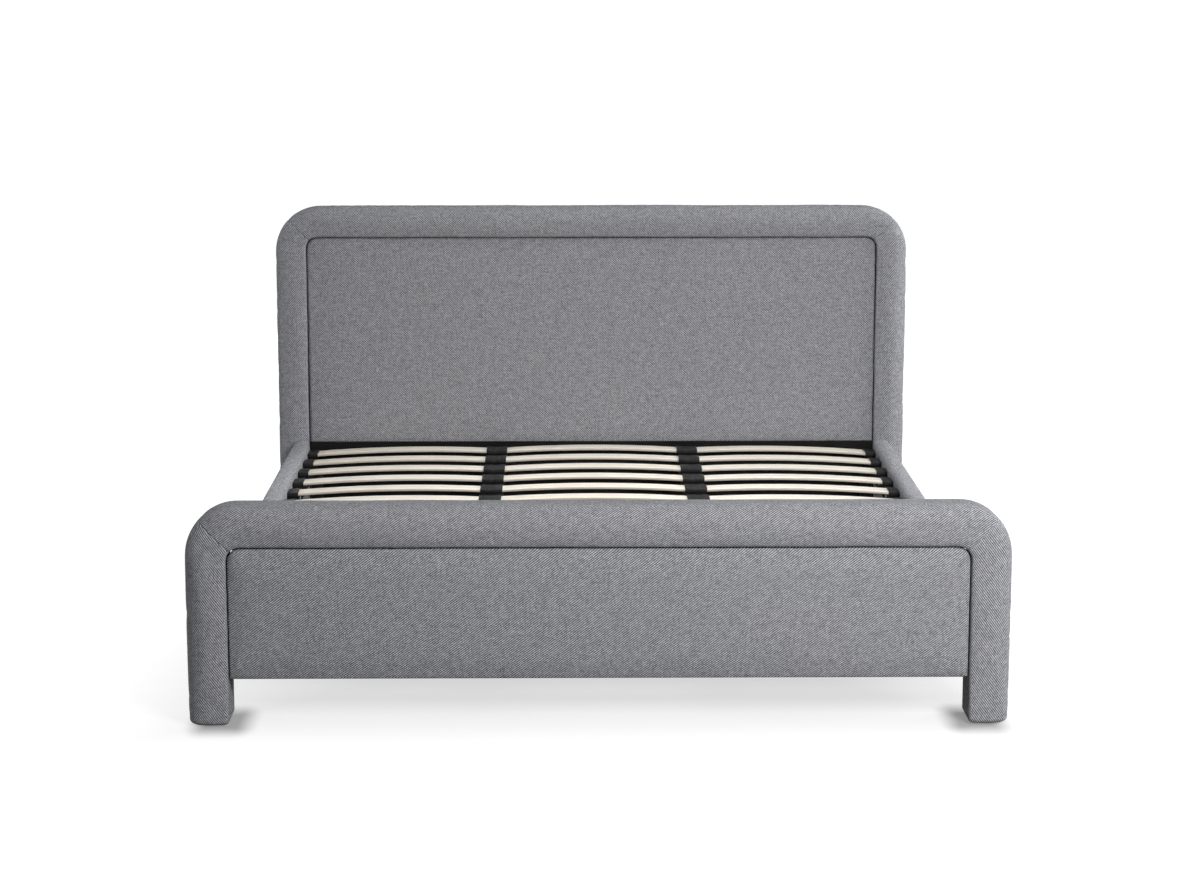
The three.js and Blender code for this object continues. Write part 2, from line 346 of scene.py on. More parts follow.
def smooth_faces(mesh, smooth_below):
    """Smooth shading, with edges sharper than smooth_below degrees left sharp."""
    mesh.polygons.foreach_set("use_smooth", [True] * len(mesh.polygons))
    mesh.set_sharp_from_angle(angle=math.radians(smooth_below))


def tube_faces(rows, columns):
    """Faces of a tube through rows of points in rings, and then its two flat ends."""
    sides = [(r * columns + c, r * columns + (c + 1) % columns,
              (r + 1) * columns + (c + 1) % columns, (r + 1) * columns + c)
             for r in range(rows - 1) for c in range(columns)]
    last = (rows - 1) * columns
    return sides + [tuple(range(columns))[::-1], tuple(range(last, last + columns))]


def mesh_object(name, points, faces, uvs, material, smooth_below=40.0):
    """A mesh from points, faces and one UV pair per face corner. Its faces are turned outwards."""
    mesh = bpy.data.meshes.new(name)
    mesh.from_pydata([tuple(p) for p in points], [], [tuple(int(i) for i in f) for f in faces])
    if uvs is not None:
        layer = mesh.uv_layers.new(name="cloth")
        layer.data.foreach_set("uv", np.asarray(uvs, np.float32).ravel())
    shell = bmesh.new()
    shell.from_mesh(mesh)
    if shell.calc_volume(signed=True) < 0:
        bmesh.ops.reverse_faces(shell, faces=shell.faces)
    shell.to_mesh(mesh)
    shell.free()
    smooth_faces(mesh, smooth_below)
    mesh.materials.append(material)
    obj = bpy.data.objects.new(name, mesh)
    scene.collection.objects.link(obj)
    return obj


def swept_skin(name, rings, textures, material, smooth_below=40.0):
    """A closed tube through rings of points. textures has one pair per corner of its side faces."""
    points = rings.reshape(-1, 3)
    faces = tube_faces(*rings.shape[:2])
    ends = [tuple(points[i][:2]) for face in faces[-2:] for i in face]
    return mesh_object(name, points, faces, list(textures) + ends, material, smooth_below)


def settle_cloth(piece, held):
    """Fills a padded piece out by cloth simulation. Held points stay where they are."""
    trial = bpy.data.objects.new("cloth_trial", piece.data.copy())
    scene.collection.objects.link(trial)
    trial.vertex_groups.new(name="held").add(held, 1.0, "REPLACE")
    cloth = trial.modifiers.new("cloth", "CLOTH")
    cloth.point_cache.frame_start, cloth.point_cache.frame_end = 1, CLOTH_FRAMES
    cloth.settings.quality = 3
    cloth.settings.vertex_group_mass = "held"
    cloth.settings.use_pressure = True
    cloth.settings.uniform_pressure_force = CLOTH_PRESSURE
    cloth.settings.effector_weights.gravity = 0.0
    cloth.settings.shrink_min = -CLOTH_EASE
    cloth.collision_settings.use_collision = False
    for number in range(1, CLOTH_FRAMES + 1):
        scene.frame_set(number)
    settled = trial.evaluated_get(bpy.context.evaluated_depsgraph_get()).to_mesh()
    before, after = np.zeros(3 * len(piece.data.vertices)), np.zeros(3 * len(piece.data.vertices))
    piece.data.vertices.foreach_get("co", before)
    settled.vertices.foreach_get("co", after)
    move = (after - before).reshape(-1, 3)
    reach = np.linalg.norm(move, axis=1, keepdims=True)
    move *= np.tanh(reach / CLOTH_LIMIT) * CLOTH_LIMIT / np.maximum(reach, 1e-9)
    piece.data.vertices.foreach_set("co", before + move.ravel())
    piece.data.update()
    shape = trial.data
    bpy.data.objects.remove(trial)
    bpy.data.meshes.remove(shape)
    scene.frame_set(1)


def bezier(first, first_pull, last_pull, last, steps):
    """Points along a cubic curve, without its last point."""
    t = np.arange(steps)[:, None] / steps
    weights = np.hstack(((1 - t) ** 3, 3 * t * (1 - t) ** 2, 3 * t * t * (1 - t), t ** 3))
    return list(weights @ np.array((first, first_pull, last_pull, last)))


def straight(first, last, steps):
    """Points along a line, without its last point."""
    return [np.add(first, np.subtract(last, first) * k / steps) for k in range(steps)]


def roll_section(width, depth, seam_drop, seam_fullness, outer_drop):
    """Closed section of a border: distance in from the outside, and depth behind the front."""
    wall = width - SEAM_PINCH
    crest = 0.5 * width
    back, lip = 0.030, 0.012
    points = straight((wall, depth - lip), (wall, seam_drop), 5)
    points += bezier((wall, seam_drop), (wall, 0.25 * seam_drop),
                     (crest + seam_fullness * width, 0.0), (crest, 0.0), 14)
    points += bezier((crest, 0.0), (crest - 0.35 * width, 0.0),
                     (0.0, 0.40 * outer_drop), (0.0, outer_drop), 14)
    points += straight((0.0, outer_drop), (0.0, depth - back), 4)
    points += bezier((0.0, depth - back), (0.0, depth - 0.4 * back), (0.4 * back, depth), (back, depth), 6)
    points += straight((back, depth), (wall - lip, depth), 5)
    points += bezier((wall - lip, depth), (wall - 0.4 * lip, depth),
                     (wall, depth - 0.4 * lip), (wall, depth - lip), 4)
    return np.array(points)


def arch_stations(half_width, height, corner, border):
    """Pairs of points, outside and at the seam, up one leg, round the top and down the other."""
    inner_half, inner_height = half_width - border, height - border
    leg_top, seam_leg_top = height - corner, inner_height - SEAM_RADIUS
    stations = []
    toe = [GLIDE_HEIGHT + TOE_RADIUS * (1 - math.cos(math.radians(a))) for a in (0, 22, 45, 68)]
    for z in toe + list(np.arange(GLIDE_HEIGHT + TOE_RADIUS, leg_top - 0.5 * STATION_STEP, STATION_STEP)):
        share = max(0.0, (z - 0.3 * leg_top) / (0.7 * leg_top))
        stations.append(((-half_width, z), (-inner_half, z + (seam_leg_top - leg_top) * share)))
    fine = [0.0, 0.3, 0.65, 1.1, 1.7, 2.5, 3.6, 5.0, 7.0, 9.5, 12.5, 16.0, 20.0, 24.5, 29.5, 34.5,
            39.5, 45.0]  # degrees on each side of the mitre
    for turn in [-a for a in fine[:0:-1]] + fine:
        angle = math.radians(45.0 - turn)
        outward = np.array((-math.sin(angle), math.cos(angle)))
        outside = np.array((-half_width + corner, leg_top)) + corner * outward
        seam = np.array((-inner_half + SEAM_RADIUS, seam_leg_top)) + SEAM_RADIUS * outward
        stations.append((tuple(outside), tuple(seam)))
    span, seam_span = half_width - corner, inner_half - SEAM_RADIUS
    for x in np.linspace(-span, 0.0, int(span / STATION_STEP))[1:]:
        stations.append(((x, height), (x * seam_span / span, inner_height)))
    return stations + [((-o[0], o[1]), (-s[0], s[1])) for o, s in stations[-2::-1]]


def border_roll(name, low, high, border, corner, mitre_depth, seam_drop, seam_fullness, outer_drop):
    """The whole padded border of a board whose box is given."""
    half_width, height, depth = high.x, high.z, high.y - low.y
    section = roll_section(border, depth, seam_drop, seam_fullness, outer_drop)
    stations = arch_stations(half_width, height, corner, border)
    closed = np.vstack((section, section[:1]))
    lengths = np.linalg.norm(np.diff(closed, axis=0), axis=1)
    girth = np.concatenate(([0.0], np.cumsum(lengths)))
    girth -= girth[int(np.argmin(np.abs(section[:, 0] - border / 2) + section[:, 1]))]
    excess = girth + closed[:, 0] - border / 2
    center = np.array((border / 2, depth / 2))
    mitre = np.array((-half_width, height)) + corner * (1 - math.sqrt(0.5)) * np.array((1.0, -1.0))
    mitre_foot = np.array((-half_width + border, height - border))
    along = (mitre_foot - mitre) / np.linalg.norm(mitre_foot - mitre)
    rings = np.zeros((len(stations), len(section), 3))
    for r, (outside, seam) in enumerate(stations):
        outside, seam = np.array(outside), np.array(seam)
        rise = min(outside[1], TOE_RADIUS + GLIDE_HEIGHT) - GLIDE_HEIGHT
        tuck = TOE_RADIUS - math.sqrt(max(0.0, TOE_RADIUS ** 2 - (TOE_RADIUS - rise) ** 2))
        shrink = 1 - tuck / (center * 0.9)
        for c, (a, y) in enumerate(center + (section - center) * shrink):
            flat = outside + (seam - outside) * (a / border)
            off = np.array((-abs(flat[0]), flat[1])) - mitre
            side = abs(off[0] * along[1] - off[1] * along[0])
            reach = max(0.0, flat[1] - (height - 1.5 * border)) / border
            dent = min(1.0, 4 * reach) * mitre_depth * math.exp(-((side / MITRE_HALF_WIDTH) ** 2))
            pucker = min(1.0, 4 * reach) * 0.0005 * math.sin(side / 0.0045) * math.exp(-side / 0.02)
            soft = 0.0011 * noise.noise(Vector((flat[0] * 5.0, y * 5.0, flat[1] * 5.0)))
            inward = center - np.array((a, y))
            inward = inward / (np.linalg.norm(inward) + 1e-9) * (dent + pucker + soft)
            flat = outside + (seam - outside) * ((a + inward[0]) / border)
            rings[r, c] = (flat[0], low.y + y + inward[1], flat[1])
    textures = []
    mitre_x = -half_width + corner * (1 - math.sqrt(0.5))
    corner_row = int(np.argmin([abs(outside[0] - mitre_x) for outside, seam in stations]))
    for r in range(len(stations) - 1):
        for c in range(len(section)):
            for rr, cc in ((r, c), (r, c + 1), (r + 1, c + 1), (r + 1, c)):
                x, _, z = rings[rr, cc % len(section)]
                if r < corner_row:
                    textures.append((z, -x + excess[cc]))
                elif r >= len(stations) - 1 - corner_row:
                    textures.append((-z, x + excess[cc]))
                else:
                    textures.append((x, z + excess[cc]))
    roll = swept_skin(name, rings, textures, grey_fabric)
    held = [r * len(section) + c for r in range(len(stations)) for c, (a, y) in enumerate(section)
            if a > border - HELD_AT_SEAM or y > depth - HELD_AT_BACK or rings[r, c, 2] < HELD_AT_FLOOR]
    held += list(range(len(stations) * len(section), len(roll.data.vertices)))
    settle_cloth(roll, held)
    return roll


HEAD_BORDER = 0.099
HEAD_CORNER = 0.145
head_low, head_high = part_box("headboard_border")
headboard_roll = border_roll("headboard_padded_border", head_low, head_high, HEAD_BORDER, HEAD_CORNER,
                             mitre_depth=0.0030, seam_drop=0.014, seam_fullness=0.39, outer_drop=0.040)
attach(headboard_roll, "bed")
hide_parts("headboard_border")

FOOT_BORDER = 0.102
FOOT_CORNER = 0.122
foot_low, foot_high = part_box("footboard_border")
footboard_roll = border_roll("footboard_padded_border", foot_low, foot_high, FOOT_BORDER, FOOT_CORNER,
                             mitre_depth=0.0021, seam_drop=0.014, seam_fullness=0.38, outer_drop=0.040)
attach(footboard_roll, "bed")
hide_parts("footboard_border")

# ---- Panels --------------------------------------------------------------------------------------
# Thin foam on a board, with the cloth pulled over its edges and stapled behind. Each panel is
# pushed into its border from the front, which makes the deep seam round it.

PANEL_EDGE_ROUND = 0.013
PANEL_EDGE_DROP = 0.009
PANEL_CROWN = 0.007
PANEL_HELD_RIM = 0.004
HEM_RADIUS = 0.006


def edge_ladder(length, step):
    """Grid positions along a panel: close together near both ends."""
    near = [0.0, 0.001, 0.0025, 0.0045, 0.007, 0.010, 0.013, 0.018, 0.026, 0.036]
    inside = np.linspace(near[-1], length - near[-1], int((length - 2 * near[-1]) / step))
    return np.array(near[:-1] + list(inside) + [length - n for n in near[-2::-1]])


def round_corner(a, b):
    """Moves a point of the unit square onto the quarter disc."""
    return a * math.sqrt(1 - b * b / 2), b * math.sqrt(1 - a * a / 2)


def padded_panel(name, low, high, radius, face_depth, back_depth, toward=-1.0, step=0.010,
                 edge_round=PANEL_EDGE_ROUND, edge_drop=PANEL_EDGE_DROP, crown_height=PANEL_CROWN):
    """A padded board with round upper corners. toward is the side along Y that its face looks to."""
    half_x, half_z = (high.x - low.x) / 2, (high.z - low.z) / 2
    middle_x, middle_z = (high.x + low.x) / 2, (high.z + low.z) / 2
    xs = edge_ladder(2 * half_x, step) - half_x
    zs = edge_ladder(2 * half_z, step) - half_z
    points = np.zeros((len(zs), len(xs), 3))
    for j, z in enumerate(zs):
        for i, x in enumerate(xs):
            corner = radius if z > 0 else HEM_RADIUS
            px, pz = abs(x), abs(z)
            inside = min(half_x - px, half_z - pz)
            a, b = (px - half_x + corner) / corner, (pz - half_z + corner) / corner
            if a > 0 and b > 0:
                a, b = round_corner(a, b)
                px, pz = half_x - corner + a * corner, half_z - corner + b * corner
                inside = corner * (1 - math.hypot(a, b))
            lip = max(0.0, 1 - inside / edge_round)
            drop = edge_drop * (1 - math.sqrt(max(0.0, 1 - lip * lip)))
            crown = crown_height * (1 - math.exp(-inside / 0.045))
            soft = 0.0010 * noise.noise(Vector((x * 3.2, face_depth * 7.0, z * 3.2)))
            depth = face_depth - toward * (drop - crown + soft * min(1.0, inside / 0.04))
            points[j, i] = (middle_x + math.copysign(px, x), depth, middle_z + math.copysign(pz, z))
    rows, columns = len(zs), len(xs)
    flat_points = list(points.reshape(-1, 3))
    uv_of = [(p[0], p[2]) for p in flat_points]
    faces = [(j * columns + i, j * columns + i + 1, (j + 1) * columns + i + 1, (j + 1) * columns + i)
             for j in range(rows - 1) for i in range(columns - 1)]
    rim = ([i for i in range(columns)] + [j * columns + columns - 1 for j in range(1, rows)]
           + [(rows - 1) * columns + i for i in range(columns - 2, -1, -1)]
           + [j * columns for j in range(rows - 2, 0, -1)])
    previous = rim
    start_depth = face_depth - toward * edge_drop
    for share in (0.25, 0.6, 1.0):
        depth = start_depth + (back_depth - start_depth) * share
        ring = []
        for index in rim:
            p = flat_points[index]
            ring.append(len(flat_points))
            outward = Vector((p[0] - middle_x, 0, p[2] - middle_z)).normalized()
            fold = abs(depth - start_depth)
            flat_points.append(np.array((p[0], depth, p[2])))
            uv_of.append((p[0] + outward.x * fold, p[2] + outward.z * fold))
        count = len(rim)
        faces += [(previous[k], ring[k], ring[(k + 1) % count], previous[(k + 1) % count])
                  for k in range(count)]
        previous = ring
    faces.append(tuple(previous))
    uvs = [uv_of[i] for face in faces for i in face]
    panel = mesh_object(name, flat_points, faces, uvs, grey_fabric)
    if crown_height > 0:
        held = [k for k, p in enumerate(flat_points) if k >= rows * columns
                or half_x - abs(p[0] - middle_x) < PANEL_HELD_RIM
                or half_z - abs(p[2] - middle_z) < PANEL_HELD_RIM]
        settle_cloth(panel, held)
    return panel


def seam_box(node):
    """A panel's box, less the seam beside it."""
    low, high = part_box(node)
    return (Vector((low.x + SEAM_PINCH, low.y, low.z)),
            Vector((high.x - SEAM_PINCH, high.y, high.z - SEAM_PINCH)))


def board_panel(name, node, front):
    low, high = seam_box(node)
    piece = padded_panel(name, low, high, SEAM_RADIUS, front + 0.013, high.y)
    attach(piece, "bed")
    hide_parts(node)
    return piece


board_panel("headboard_padded_panel", "headboard_panel", head_low.y)
board_panel("footboard_padded_panel", "footboard_panel", foot_low.y)
footboard_panel_low, footboard_panel_high = seam_box("footboard_panel")


# The inside face of the footboard is a thin padded board let in from the mattress side.

INNER_BOARD_DEPTH = 0.011
inner_low = Vector((footboard_panel_low.x, foot_high.y - INNER_BOARD_DEPTH, footboard_panel_low.z))
inner_high = Vector((footboard_panel_high.x, foot_high.y, footboard_panel_high.z))
footboard_inner_panel = padded_panel("footboard_inner_panel", inner_low, inner_high, SEAM_RADIUS,
                                     foot_high.y - 0.001, inner_low.y, toward=1.0, crown_height=0.0)
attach(footboard_inner_panel, "bed")
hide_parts("footboard_border")

# ---- Headboard back cover ----------------------------------------------------------------------
# A sheet of the same weave closes the back of the headboard. Its edges are folded under and stapled
# to the frame, so that the border stands a little proud all round it.

cover_low, cover_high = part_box("headboard_back_cover")
BACK_CORNER = HEAD_CORNER - 0.040
BACK_PROUD = 0.0018
back_cover = padded_panel("headboard_back_sheet", cover_low, cover_high, BACK_CORNER,
                          cover_high.y + BACK_PROUD, cover_low.y, toward=1.0, step=0.03,
                          edge_round=0.006, edge_drop=0.004, crown_height=0.0)
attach(back_cover, "bed")
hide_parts("headboard_back_cover")

# ---- Side rail covers --------------------------------------------------------------------------
# The weave over a layer of foam, round each plank: over the top, down both faces and under the
# plank, where both edges are stapled.

RAIL_TOP_ROUND = 0.016
RAIL_FOOT_ROUND = 0.005
RAIL_LAP = 0.013
LAP_THICKNESS = 0.0008
PLANK_GAP = 0.0003


def rail_section(low, high, plank_low, plank_high):
    """Closed section of a rail's cover, X and Z, round the plank."""
    top, foot = RAIL_TOP_ROUND, RAIL_FOOT_ROUND
    crown = 0.002
    x0, x1, z0, z1 = low.x, high.x, low.z, high.z
    middle = (x0 + x1) / 2
    px0, px1, pz1 = plank_low.x - PLANK_GAP, plank_high.x + PLANK_GAP, plank_high.z + PLANK_GAP
    points = straight((px0 + RAIL_LAP, z0), (x0 + foot, z0), 3)
    points += bezier((x0 + foot, z0), (x0 + 0.4 * foot, z0), (x0, z0 + 0.4 * foot), (x0, z0 + foot), 4)
    points += straight((x0, z0 + foot), (x0, z1 - 1.5 * top), 12)
    points += bezier((x0, z1 - 1.5 * top), (x0, z1 - 0.35 * top), (x0 + 0.5 * top, z1 - crown),
                     (x0 + 1.1 * top, z1 - 0.3 * crown), 9)
    points += bezier((x0 + 1.1 * top, z1 - 0.3 * crown), (middle - 0.2 * top, z1), (middle + 0.2 * top, z1),
                     (x1 - 1.1 * top, z1 - 0.3 * crown), 6)
    points += bezier((x1 - 1.1 * top, z1 - 0.3 * crown), (x1 - 0.5 * top, z1 - crown),
                     (x1, z1 - 0.35 * top), (x1, z1 - 1.5 * top), 9)
    points += straight((x1, z1 - 1.5 * top), (x1, z0 + foot), 12)
    points += bezier((x1, z0 + foot), (x1, z0 + 0.4 * foot), (x1 - 0.4 * foot, z0), (x1 - foot, z0), 4)
    points += straight((x1 - foot, z0), (px1 - RAIL_LAP, z0), 3)
    points += [(px1 - RAIL_LAP, z0), (px1 - RAIL_LAP, z0 + LAP_THICKNESS), (px1, z0 + LAP_THICKNESS),
               (px1, pz1), (px0, pz1), (px0, z0 + LAP_THICKNESS), (px0 + RAIL_LAP, z0 + LAP_THICKNESS)]
    return np.array(points)


def rail_cover(side):
    low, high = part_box("side_rail_cover_" + side)
    section = rail_section(low, high, *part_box("side_rail_" + side))
    ys = np.concatenate(([low.y, low.y + 0.002], np.arange(low.y + 0.012, high.y - 0.006, 0.012),
                         [high.y - 0.002, high.y]))
    closed = np.vstack((section, section[:1]))
    girth = np.concatenate(([0.0], np.cumsum(np.linalg.norm(np.diff(closed, axis=0), axis=1))))
    center = np.array(((low.x + high.x) / 2, (low.z + high.z) / 2))
    rings = np.zeros((len(ys), len(section), 3))
    for r, y in enumerate(ys):
        near_end = min(y - low.y, high.y - y)
        for c, (x, z) in enumerate(section):
            outer = c < len(section) - 6
            soft = 0.0012 * noise.noise(Vector((x * 9.0, y * 4.0, z * 9.0))) if outer else 0.0
            soft += 0.0005 * noise.noise(Vector((x * 30.0, y * 24.0, z * 30.0))) if outer else 0.0
            pull = 0.0015 * math.exp(-near_end / 0.008) if outer and z > low.z + 0.006 else 0.0
            inward = center - np.array((x, z))
            inward[1] *= 0.15 if z < high.z - 0.004 else 1.0
            inward = inward / (np.linalg.norm(inward) + 1e-9) * (abs(soft) + pull)
            if z < low.z + 0.004:
                inward = np.zeros(2)
            rings[r, c] = (x + inward[0], y, z + inward[1])
    textures = [(ys[rr], girth[cc]) for r in range(len(ys) - 1) for c in range(len(section))
                for rr, cc in ((r, c), (r, c + 1), (r + 1, c + 1), (r + 1, c))]
    cover = swept_skin("side_rail_padded_cover_" + side, rings, textures, grey_fabric, 50.0)
    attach(cover, "bed")
    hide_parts("side_rail_cover_" + side)


for side in ("left", "right"):
    rail_cover(side)

# ---- Black boards ------------------------------------------------------------------------------
# Painted softwood: a board across each end of the slatted base, a batten along the inside of each
# side rail and a beam under each joint of two slat columns. Planed, with the edges broken.


def make_black_paint():
    """Thin matt black over sawn wood: the grain stands up, and it wears grey in patches here and there."""
    material, tree, shader = new_material("black_painted_wood", 0.6, Specular_IOR_Level=0.18)
    place = object_coordinate(tree)
    grain = place_group(tree, timber_grain, place, Light=(0.011, 0.010, 0.009, 1),
                        Dark=(0.006, 0.0055, 0.005, 1), Fineness=1.0)
    dust = noise_value(tree, place, 9.0, 4.0)
    mask = ramp(tree, dust, (0.55, (0, 0, 0, 1)), (0.8, (0.35, 0.35, 0.35, 1)))
    color = mix_colors(tree, mask, grain.outputs["Color"], (0.028, 0.027, 0.025, 1))
    tree.links.new(color, shader.inputs["Base Color"])
    raise_surface(tree, shader, grain.outputs["Height"], 0.0003, 0.6)
    return material


black_paint = make_black_paint()


def soften_edges(obj, width, segments=2):
    """Rounds the edges of a hard piece with a live bevel."""
    bevel = obj.modifiers.new("broken_edges", "BEVEL")
    bevel.width = width
    bevel.segments = segments
    bevel.limit_method = "ANGLE"
    bevel.angle_limit = math.radians(35)
    bevel.harden_normals = True


def add_block(shell, low, high):
    """A closed block inside a bmesh."""
    corners = [shell.verts.new((x, y, z)) for x in (low[0], high[0]) for y in (low[1], high[1])
               for z in (low[2], high[2])]
    for face in ((0, 1, 3, 2), (4, 6, 7, 5), (0, 4, 5, 1), (2, 3, 7, 6), (0, 2, 6, 4), (1, 5, 7, 3)):
        shell.faces.new([corners[i] for i in face])


def add_prism(shell, first, last):
    """A closed prism inside a bmesh, between two outlines of the same points."""
    near = [shell.verts.new(point) for point in first]
    far = [shell.verts.new(point) for point in last]
    shell.faces.new(near[::-1])
    shell.faces.new(far)
    for k in range(len(near)):
        j = (k + 1) % len(near)
        shell.faces.new((near[k], near[j], far[j], far[k]))


def hard_piece(name, fill, material, nodes=(), body="bed", edge=0.001, segments=2, smooth=35.0):
    """A hard piece: fill puts its faces in a bmesh, and its edges are then rounded for good."""
    shell = bmesh.new()
    fill(shell)
    bmesh.ops.recalc_face_normals(shell, faces=shell.faces)
    if edge > 0:
        sharp = [e for e in shell.edges
                 if len(e.link_faces) == 2 and e.calc_face_angle(0) > math.radians(35)]
        bmesh.ops.bevel(shell, geom=sharp, offset=edge, segments=segments, profile=0.5, affect="EDGES")
    mesh = bpy.data.meshes.new(name)
    shell.to_mesh(mesh)
    shell.free()
    smooth_faces(mesh, smooth)
    mesh.materials.append(material)
    obj = bpy.data.objects.new(name, mesh)
    scene.collection.objects.link(obj)
    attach(obj, body)
    if nodes:
        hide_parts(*nodes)
    return obj


def board_piece(name, low, high, nodes):
    return hard_piece(name, lambda shell: add_block(shell, low, high), black_paint,
                      nodes, edge=0.002, segments=3)


LEDGER_TOP = 0.2885
LEDGER_WIDTH = 0.028
for side, sign in (("left", -1), ("right", 1)):
    low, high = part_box("slat_ledger_" + side)
    inner, outer = (low.x, high.x) if sign > 0 else (high.x, low.x)
    edges = sorted((outer - sign * LEDGER_WIDTH, outer))
    board_piece("ledger_batten_" + side, (edges[0], low.y, low.z), (edges[1], high.y, LEDGER_TOP),
                ["slat_ledger_" + side])

BEAM_WIDTH = 0.060
BEAM_HEIGHT = 0.050
for side in ("left", "right"):
    low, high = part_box("centre_rail_" + side)
    middle = (low.x + high.x) / 2
    board_piece("centre_beam_" + side, (middle - BEAM_WIDTH / 2, low.y, low.z),
                (middle + BEAM_WIDTH / 2, high.y, low.z + BEAM_HEIGHT), ["centre_rail_" + side])

for node in ("head_rail", "foot_rail"):
    finish_cad_node(node, black_paint)
    soften_edges(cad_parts[node], 0.002, 3)

# ---- Slats -------------------------------------------------------------------------------------
# Thirty-nine birch plywood slats, pressed to a slight bow, with rounded long edges and a thin clear
# finish. No two have quite the same tone.

SLAT_WIDTH = 0.063
SLAT_THICKNESS = 0.008
SLAT_BOW = 0.010
SLAT_EDGE = 0.0022


def make_birch():
    """Pale birch with fine grain, a tone for each slat, and the plies showing on the long edges."""
    material, tree, shader = new_material("birch_plywood", 0.42, Coat_Weight=0.12, Coat_Roughness=0.35)
    place = object_coordinate(tree)
    grain = place_group(tree, timber_grain, place, Light=(0.985, 0.94, 0.855, 1),
                        Dark=(0.93, 0.86, 0.75, 1), Fineness=1.0)
    tone = tree.nodes.new("ShaderNodeAttribute")
    tone.attribute_name = "slat_tone"
    tinted = mix_colors(tree, calc(tree, "MULTIPLY", tone.outputs["Fac"], 0.45), grain.outputs["Color"],
                        (0.93, 0.83, 0.68, 1))
    knots = noise_value(tree, place, 1.0, 3.0, (4.0, 55.0, 20.0))
    streak = ramp(tree, knots, (0.70, (0, 0, 0, 1)), (0.78, (1, 1, 1, 1)))
    streaked = mix_colors(tree, calc(tree, "MULTIPLY", streak, 0.55), tinted, (0.42, 0.28, 0.16, 1))
    ply = tree.nodes.new("ShaderNodeAttribute")
    ply.attribute_name = "ply_height"
    layer = calc(tree, "PINGPONG", calc(tree, "MULTIPLY", ply.outputs["Fac"], 5.0), 1.0)
    layer = calc(tree, "GREATER_THAN", layer, 0.5)
    normal = tree.nodes.new("ShaderNodeSeparateXYZ")
    tree.links.new(tree.nodes.new("ShaderNodeNewGeometry").outputs["Normal"], normal.inputs[0])
    on_edge = calc(tree, "GREATER_THAN", calc(tree, "ABSOLUTE", normal.outputs["Y"]), 0.75)
    darker = mix_colors(tree, 1.0, streaked, (0.86, 0.78, 0.66, 1), "MULTIPLY")
    edged = mix_colors(tree, calc(tree, "MULTIPLY", on_edge, layer), streaked, darker)
    tree.links.new(edged, shader.inputs["Base Color"])
    raise_surface(tree, shader, grain.outputs["Height"], 0.00012, 0.5)
    return material


birch = make_birch()


def node_tree(name, inputs):
    """An empty Geometry Nodes tree with named inputs; returns it, its input node and its output node."""
    tree = bpy.data.node_groups.new(name, "GeometryNodeTree")
    tree.interface.new_socket("Geometry", in_out="OUTPUT", socket_type="NodeSocketGeometry")
    for label, kind in inputs:
        tree.interface.new_socket(label, in_out="INPUT", socket_type=kind)
    return tree, tree.nodes.new("NodeGroupInput"), tree.nodes.new("NodeGroupOutput")


def add_node(tree, kind, inputs=None, **settings):
    """A node with settings, and links or values for its inputs by name or number."""
    node = tree.nodes.new(kind)
    for label, value in settings.items():
        setattr(node, label, value)
    for label, value in (inputs or {}).items():
        if isinstance(value, bpy.types.NodeSocket):
            tree.links.new(value, node.inputs[label])
        else:
            node.inputs[label].default_value = value
    return node


def made_by_nodes(name, tree, values):
    """The plain mesh object that a Geometry Nodes tree makes from these input values."""
    seed = bpy.data.objects.new(name + "_seed", bpy.data.meshes.new(name + "_seed"))
    scene.collection.objects.link(seed)
    modifier = seed.modifiers.new("nodes", "NODES")
    modifier.node_group = tree
    for item in tree.interface.items_tree:
        if item.item_type == "SOCKET" and item.in_out == "INPUT":
            modifier[item.identifier] = values[item.name]
    bpy.context.view_layer.update()
    mesh = bpy.data.meshes.new_from_object(seed.evaluated_get(bpy.context.evaluated_depsgraph_get()))
    bpy.data.objects.remove(seed)
    mesh.name = name
    obj = bpy.data.objects.new(name, mesh)
    scene.collection.objects.link(obj)
    return obj


